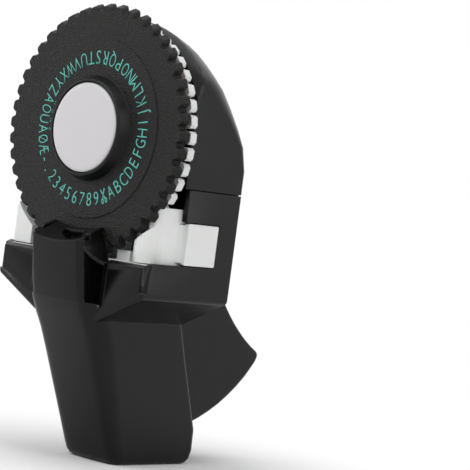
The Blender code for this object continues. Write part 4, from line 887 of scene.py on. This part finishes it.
class LABELMAKER_OT_characters(Operator):
    """Set the turquoise characters round the dial"""
    bl_idname = "labelmaker.characters"
    bl_label = "Dial Characters"

    def execute(self, context):
        sizes = context.scene.label_sizes
        capital = character_mesh("H", sizes)
        tall = max(vertex.co.y for vertex in capital.vertices)
        bpy.data.meshes.remove(capital)
        ring = bmesh.new()
        for position, text in enumerate(DIAL_ORDER):
            mesh = scissors_mesh() if text == "SCISSORS" else character_mesh(text, sizes)
            unit = sizes.character_height * (1.0 if text == "SCISSORS" else 1.0 / tall)
            natural = 2.0 * max(abs(vertex.co.x) for vertex in mesh.vertices) * unit / sizes.character_height
            widest = sizes.wide_width if text in WIDE_CHARACTERS else sizes.character_width
            squeeze = min(widest / natural, WIDTH_KEPT)
            angle = sizes.character_turn + position * 2.0 * math.pi / len(DIAL_ORDER)
            out = Vector((math.cos(angle), 0.0, math.sin(angle)))
            up = -out
            across = up.cross(Vector((0.0, -1.0, 0.0)))
            foot = DIAL_CENTRE + out * (sizes.character_ring + sizes.character_height / 2.0)
            foot.y -= sizes.face_depth
            turn = Matrix(((across.x, up.x, 0.0, 0.0), (0.0, 0.0, -1.0, 0.0), (across.z, up.z, 0.0, 0.0),
                           (0.0, 0.0, 0.0, 1.0)))
            place = Matrix.Translation(foot) @ turn
            # Raised before scaling, since the outsides of such small faces can't be told safely in metres
            raise_faces(mesh, sizes.character_relief / unit)
            mesh.transform(place @ Matrix.Diagonal((unit * squeeze, unit, unit, 1.0)))
            ring.from_mesh(mesh)
            bpy.data.meshes.remove(mesh)
        mesh = bpy.data.meshes.new("dial_characters")
        ring.to_mesh(mesh)
        ring.free()
        mesh.materials.append(stamped_foil(context.scene.label_colours))
        characters = bpy.data.objects.new("dial_characters", mesh)
        context.scene.collection.objects.link(characters)
        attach(characters, "dial")
        return {"FINISHED"}


def add_lamp(name, place, width, height, watts):
    """A soft rectangular lamp that looks at the middle of the tool."""
    lamp = bpy.data.lights.new(name, "AREA")
    lamp.shape = "RECTANGLE"
    lamp.size = width
    lamp.size_y = height
    lamp.energy = watts
    holder = bpy.data.objects.new(name, lamp)
    holder.location = place
    holder.rotation_euler = (LAMP_AIM - Vector(place)).to_track_quat("-Z", "Y").to_euler()
    bpy.context.scene.collection.objects.link(holder)


def add_floor(material):
    """The studio's flat floor, a hair below the grip."""
    mesh = bpy.data.meshes.new("floor")
    body = bmesh.new()
    bmesh.ops.create_grid(body, x_segments=1, y_segments=1, size=FLOOR_REACH)
    body.to_mesh(mesh)
    body.free()
    mesh.materials.append(material)
    floor = bpy.data.objects.new("floor", mesh)
    floor.location = (0.0, 0.0, -FLOOR_DROP)
    bpy.context.scene.collection.objects.link(floor)


def white_world():
    """Even studio room: a soft grey light that the camera and reflections see as white."""
    world = bpy.data.worlds.new("studio_room")
    world.use_nodes = True
    world.node_tree.nodes.clear()
    seen = seen_straight(world)
    room = add_node(world, "ShaderNodeBackground", {"Color": (1.0, 1.0, 1.0, 1.0), "Strength": 0.3})
    white = add_node(world, "ShaderNodeBackground", {"Color": (1.0, 1.0, 1.0, 1.0), "Strength": 1.0})
    mix = add_node(world, "ShaderNodeMixShader", None,
                   {0: (seen, "Value"), 1: (room, "Background"), 2: (white, "Background")})
    add_node(world, "ShaderNodeOutputWorld", None, {"Surface": (mix, "Shader")})
    return world


def add_camera():
    """The camera at the photograph's place, turned, raised and rolled as it was."""
    camera = bpy.data.cameras.new("photograph_view")
    camera.lens = CAMERA_LENS
    camera.sensor_width = CAMERA_SENSOR
    camera.clip_start = CAMERA_NEAR
    viewer = bpy.data.objects.new("photograph_view", camera)
    level = math.cos(CAMERA_RISE)
    back = Vector((math.sin(CAMERA_TURN) * level, -math.cos(CAMERA_TURN) * level, math.sin(CAMERA_RISE)))
    right = Vector((math.cos(CAMERA_TURN), math.sin(CAMERA_TURN), 0.0))
    up = back.cross(right)
    across = right * math.cos(CAMERA_ROLL) + up * math.sin(CAMERA_ROLL)
    upward = up * math.cos(CAMERA_ROLL) - right * math.sin(CAMERA_ROLL)
    turn = Matrix((across, upward, back)).transposed().to_4x4()
    viewer.matrix_world = Matrix.Translation(DIAL_CENTRE + CAMERA_FROM_DIAL) @ turn
    bpy.context.scene.collection.objects.link(viewer)
    bpy.context.scene.camera = viewer


class LABELMAKER_OT_studio(Operator):
    """Build the floor, the room, the lamps and the camera"""
    bl_idname = "labelmaker.studio"
    bl_label = "Studio"

    def execute(self, context):
        scene = context.scene
        scene.view_settings.view_transform = "Standard"
        add_floor(pale_floor(scene.label_colours))
        scene.world = white_world()
        for lamp in LAMPS:
            add_lamp(*lamp)
        add_camera()
        return {"FINISHED"}


class LABELMAKER_PT_looks(Panel):
    """Buttons and values of the label maker's looks"""
    bl_idname = "LABELMAKER_PT_looks"
    bl_label = "Label Maker"
    bl_space_type = "VIEW_3D"
    bl_region_type = "UI"
    bl_category = "Label Maker"

    def draw(self, context):
        layout = self.layout
        for group in (context.scene.label_sizes, context.scene.label_colours):
            for name in group.bl_rna.properties.keys():
                if name not in ("rna_type", "name"):
                    layout.prop(group, name)
        for operator in OPERATORS:
            layout.operator(operator.bl_idname)


OPERATORS = (LABELMAKER_OT_studio, LABELMAKER_OT_housing, LABELMAKER_OT_shells, LABELMAKER_OT_front,
             LABELMAKER_OT_dial, LABELMAKER_OT_chassis, LABELMAKER_OT_guide, LABELMAKER_OT_hardware,
             LABELMAKER_OT_characters)
CLASSES = (LabelMakerSizes, LabelMakerColours, *OPERATORS, LABELMAKER_PT_looks)


def register():
    """Make the classes and the scene's two groups of values known."""
    for kind in CLASSES:
        bpy.utils.register_class(kind)
    bpy.types.Scene.label_sizes = PointerProperty(type=LabelMakerSizes)
    bpy.types.Scene.label_colours = PointerProperty(type=LabelMakerColours)


def unregister():
    """Take the values and the classes away again."""
    del bpy.types.Scene.label_colours
    del bpy.types.Scene.label_sizes
    for kind in reversed(CLASSES):
        bpy.utils.unregister_class(kind)


def main():
    """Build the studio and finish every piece."""
    register()
    bpy.ops.labelmaker.studio()
    bpy.ops.labelmaker.housing()
    bpy.ops.labelmaker.shells()
    bpy.ops.labelmaker.front()
    bpy.ops.labelmaker.dial()
    bpy.ops.labelmaker.chassis()
    bpy.ops.labelmaker.guide()
    bpy.ops.labelmaker.hardware()
    bpy.ops.labelmaker.characters()


if __name__ == "__main__":
    main()
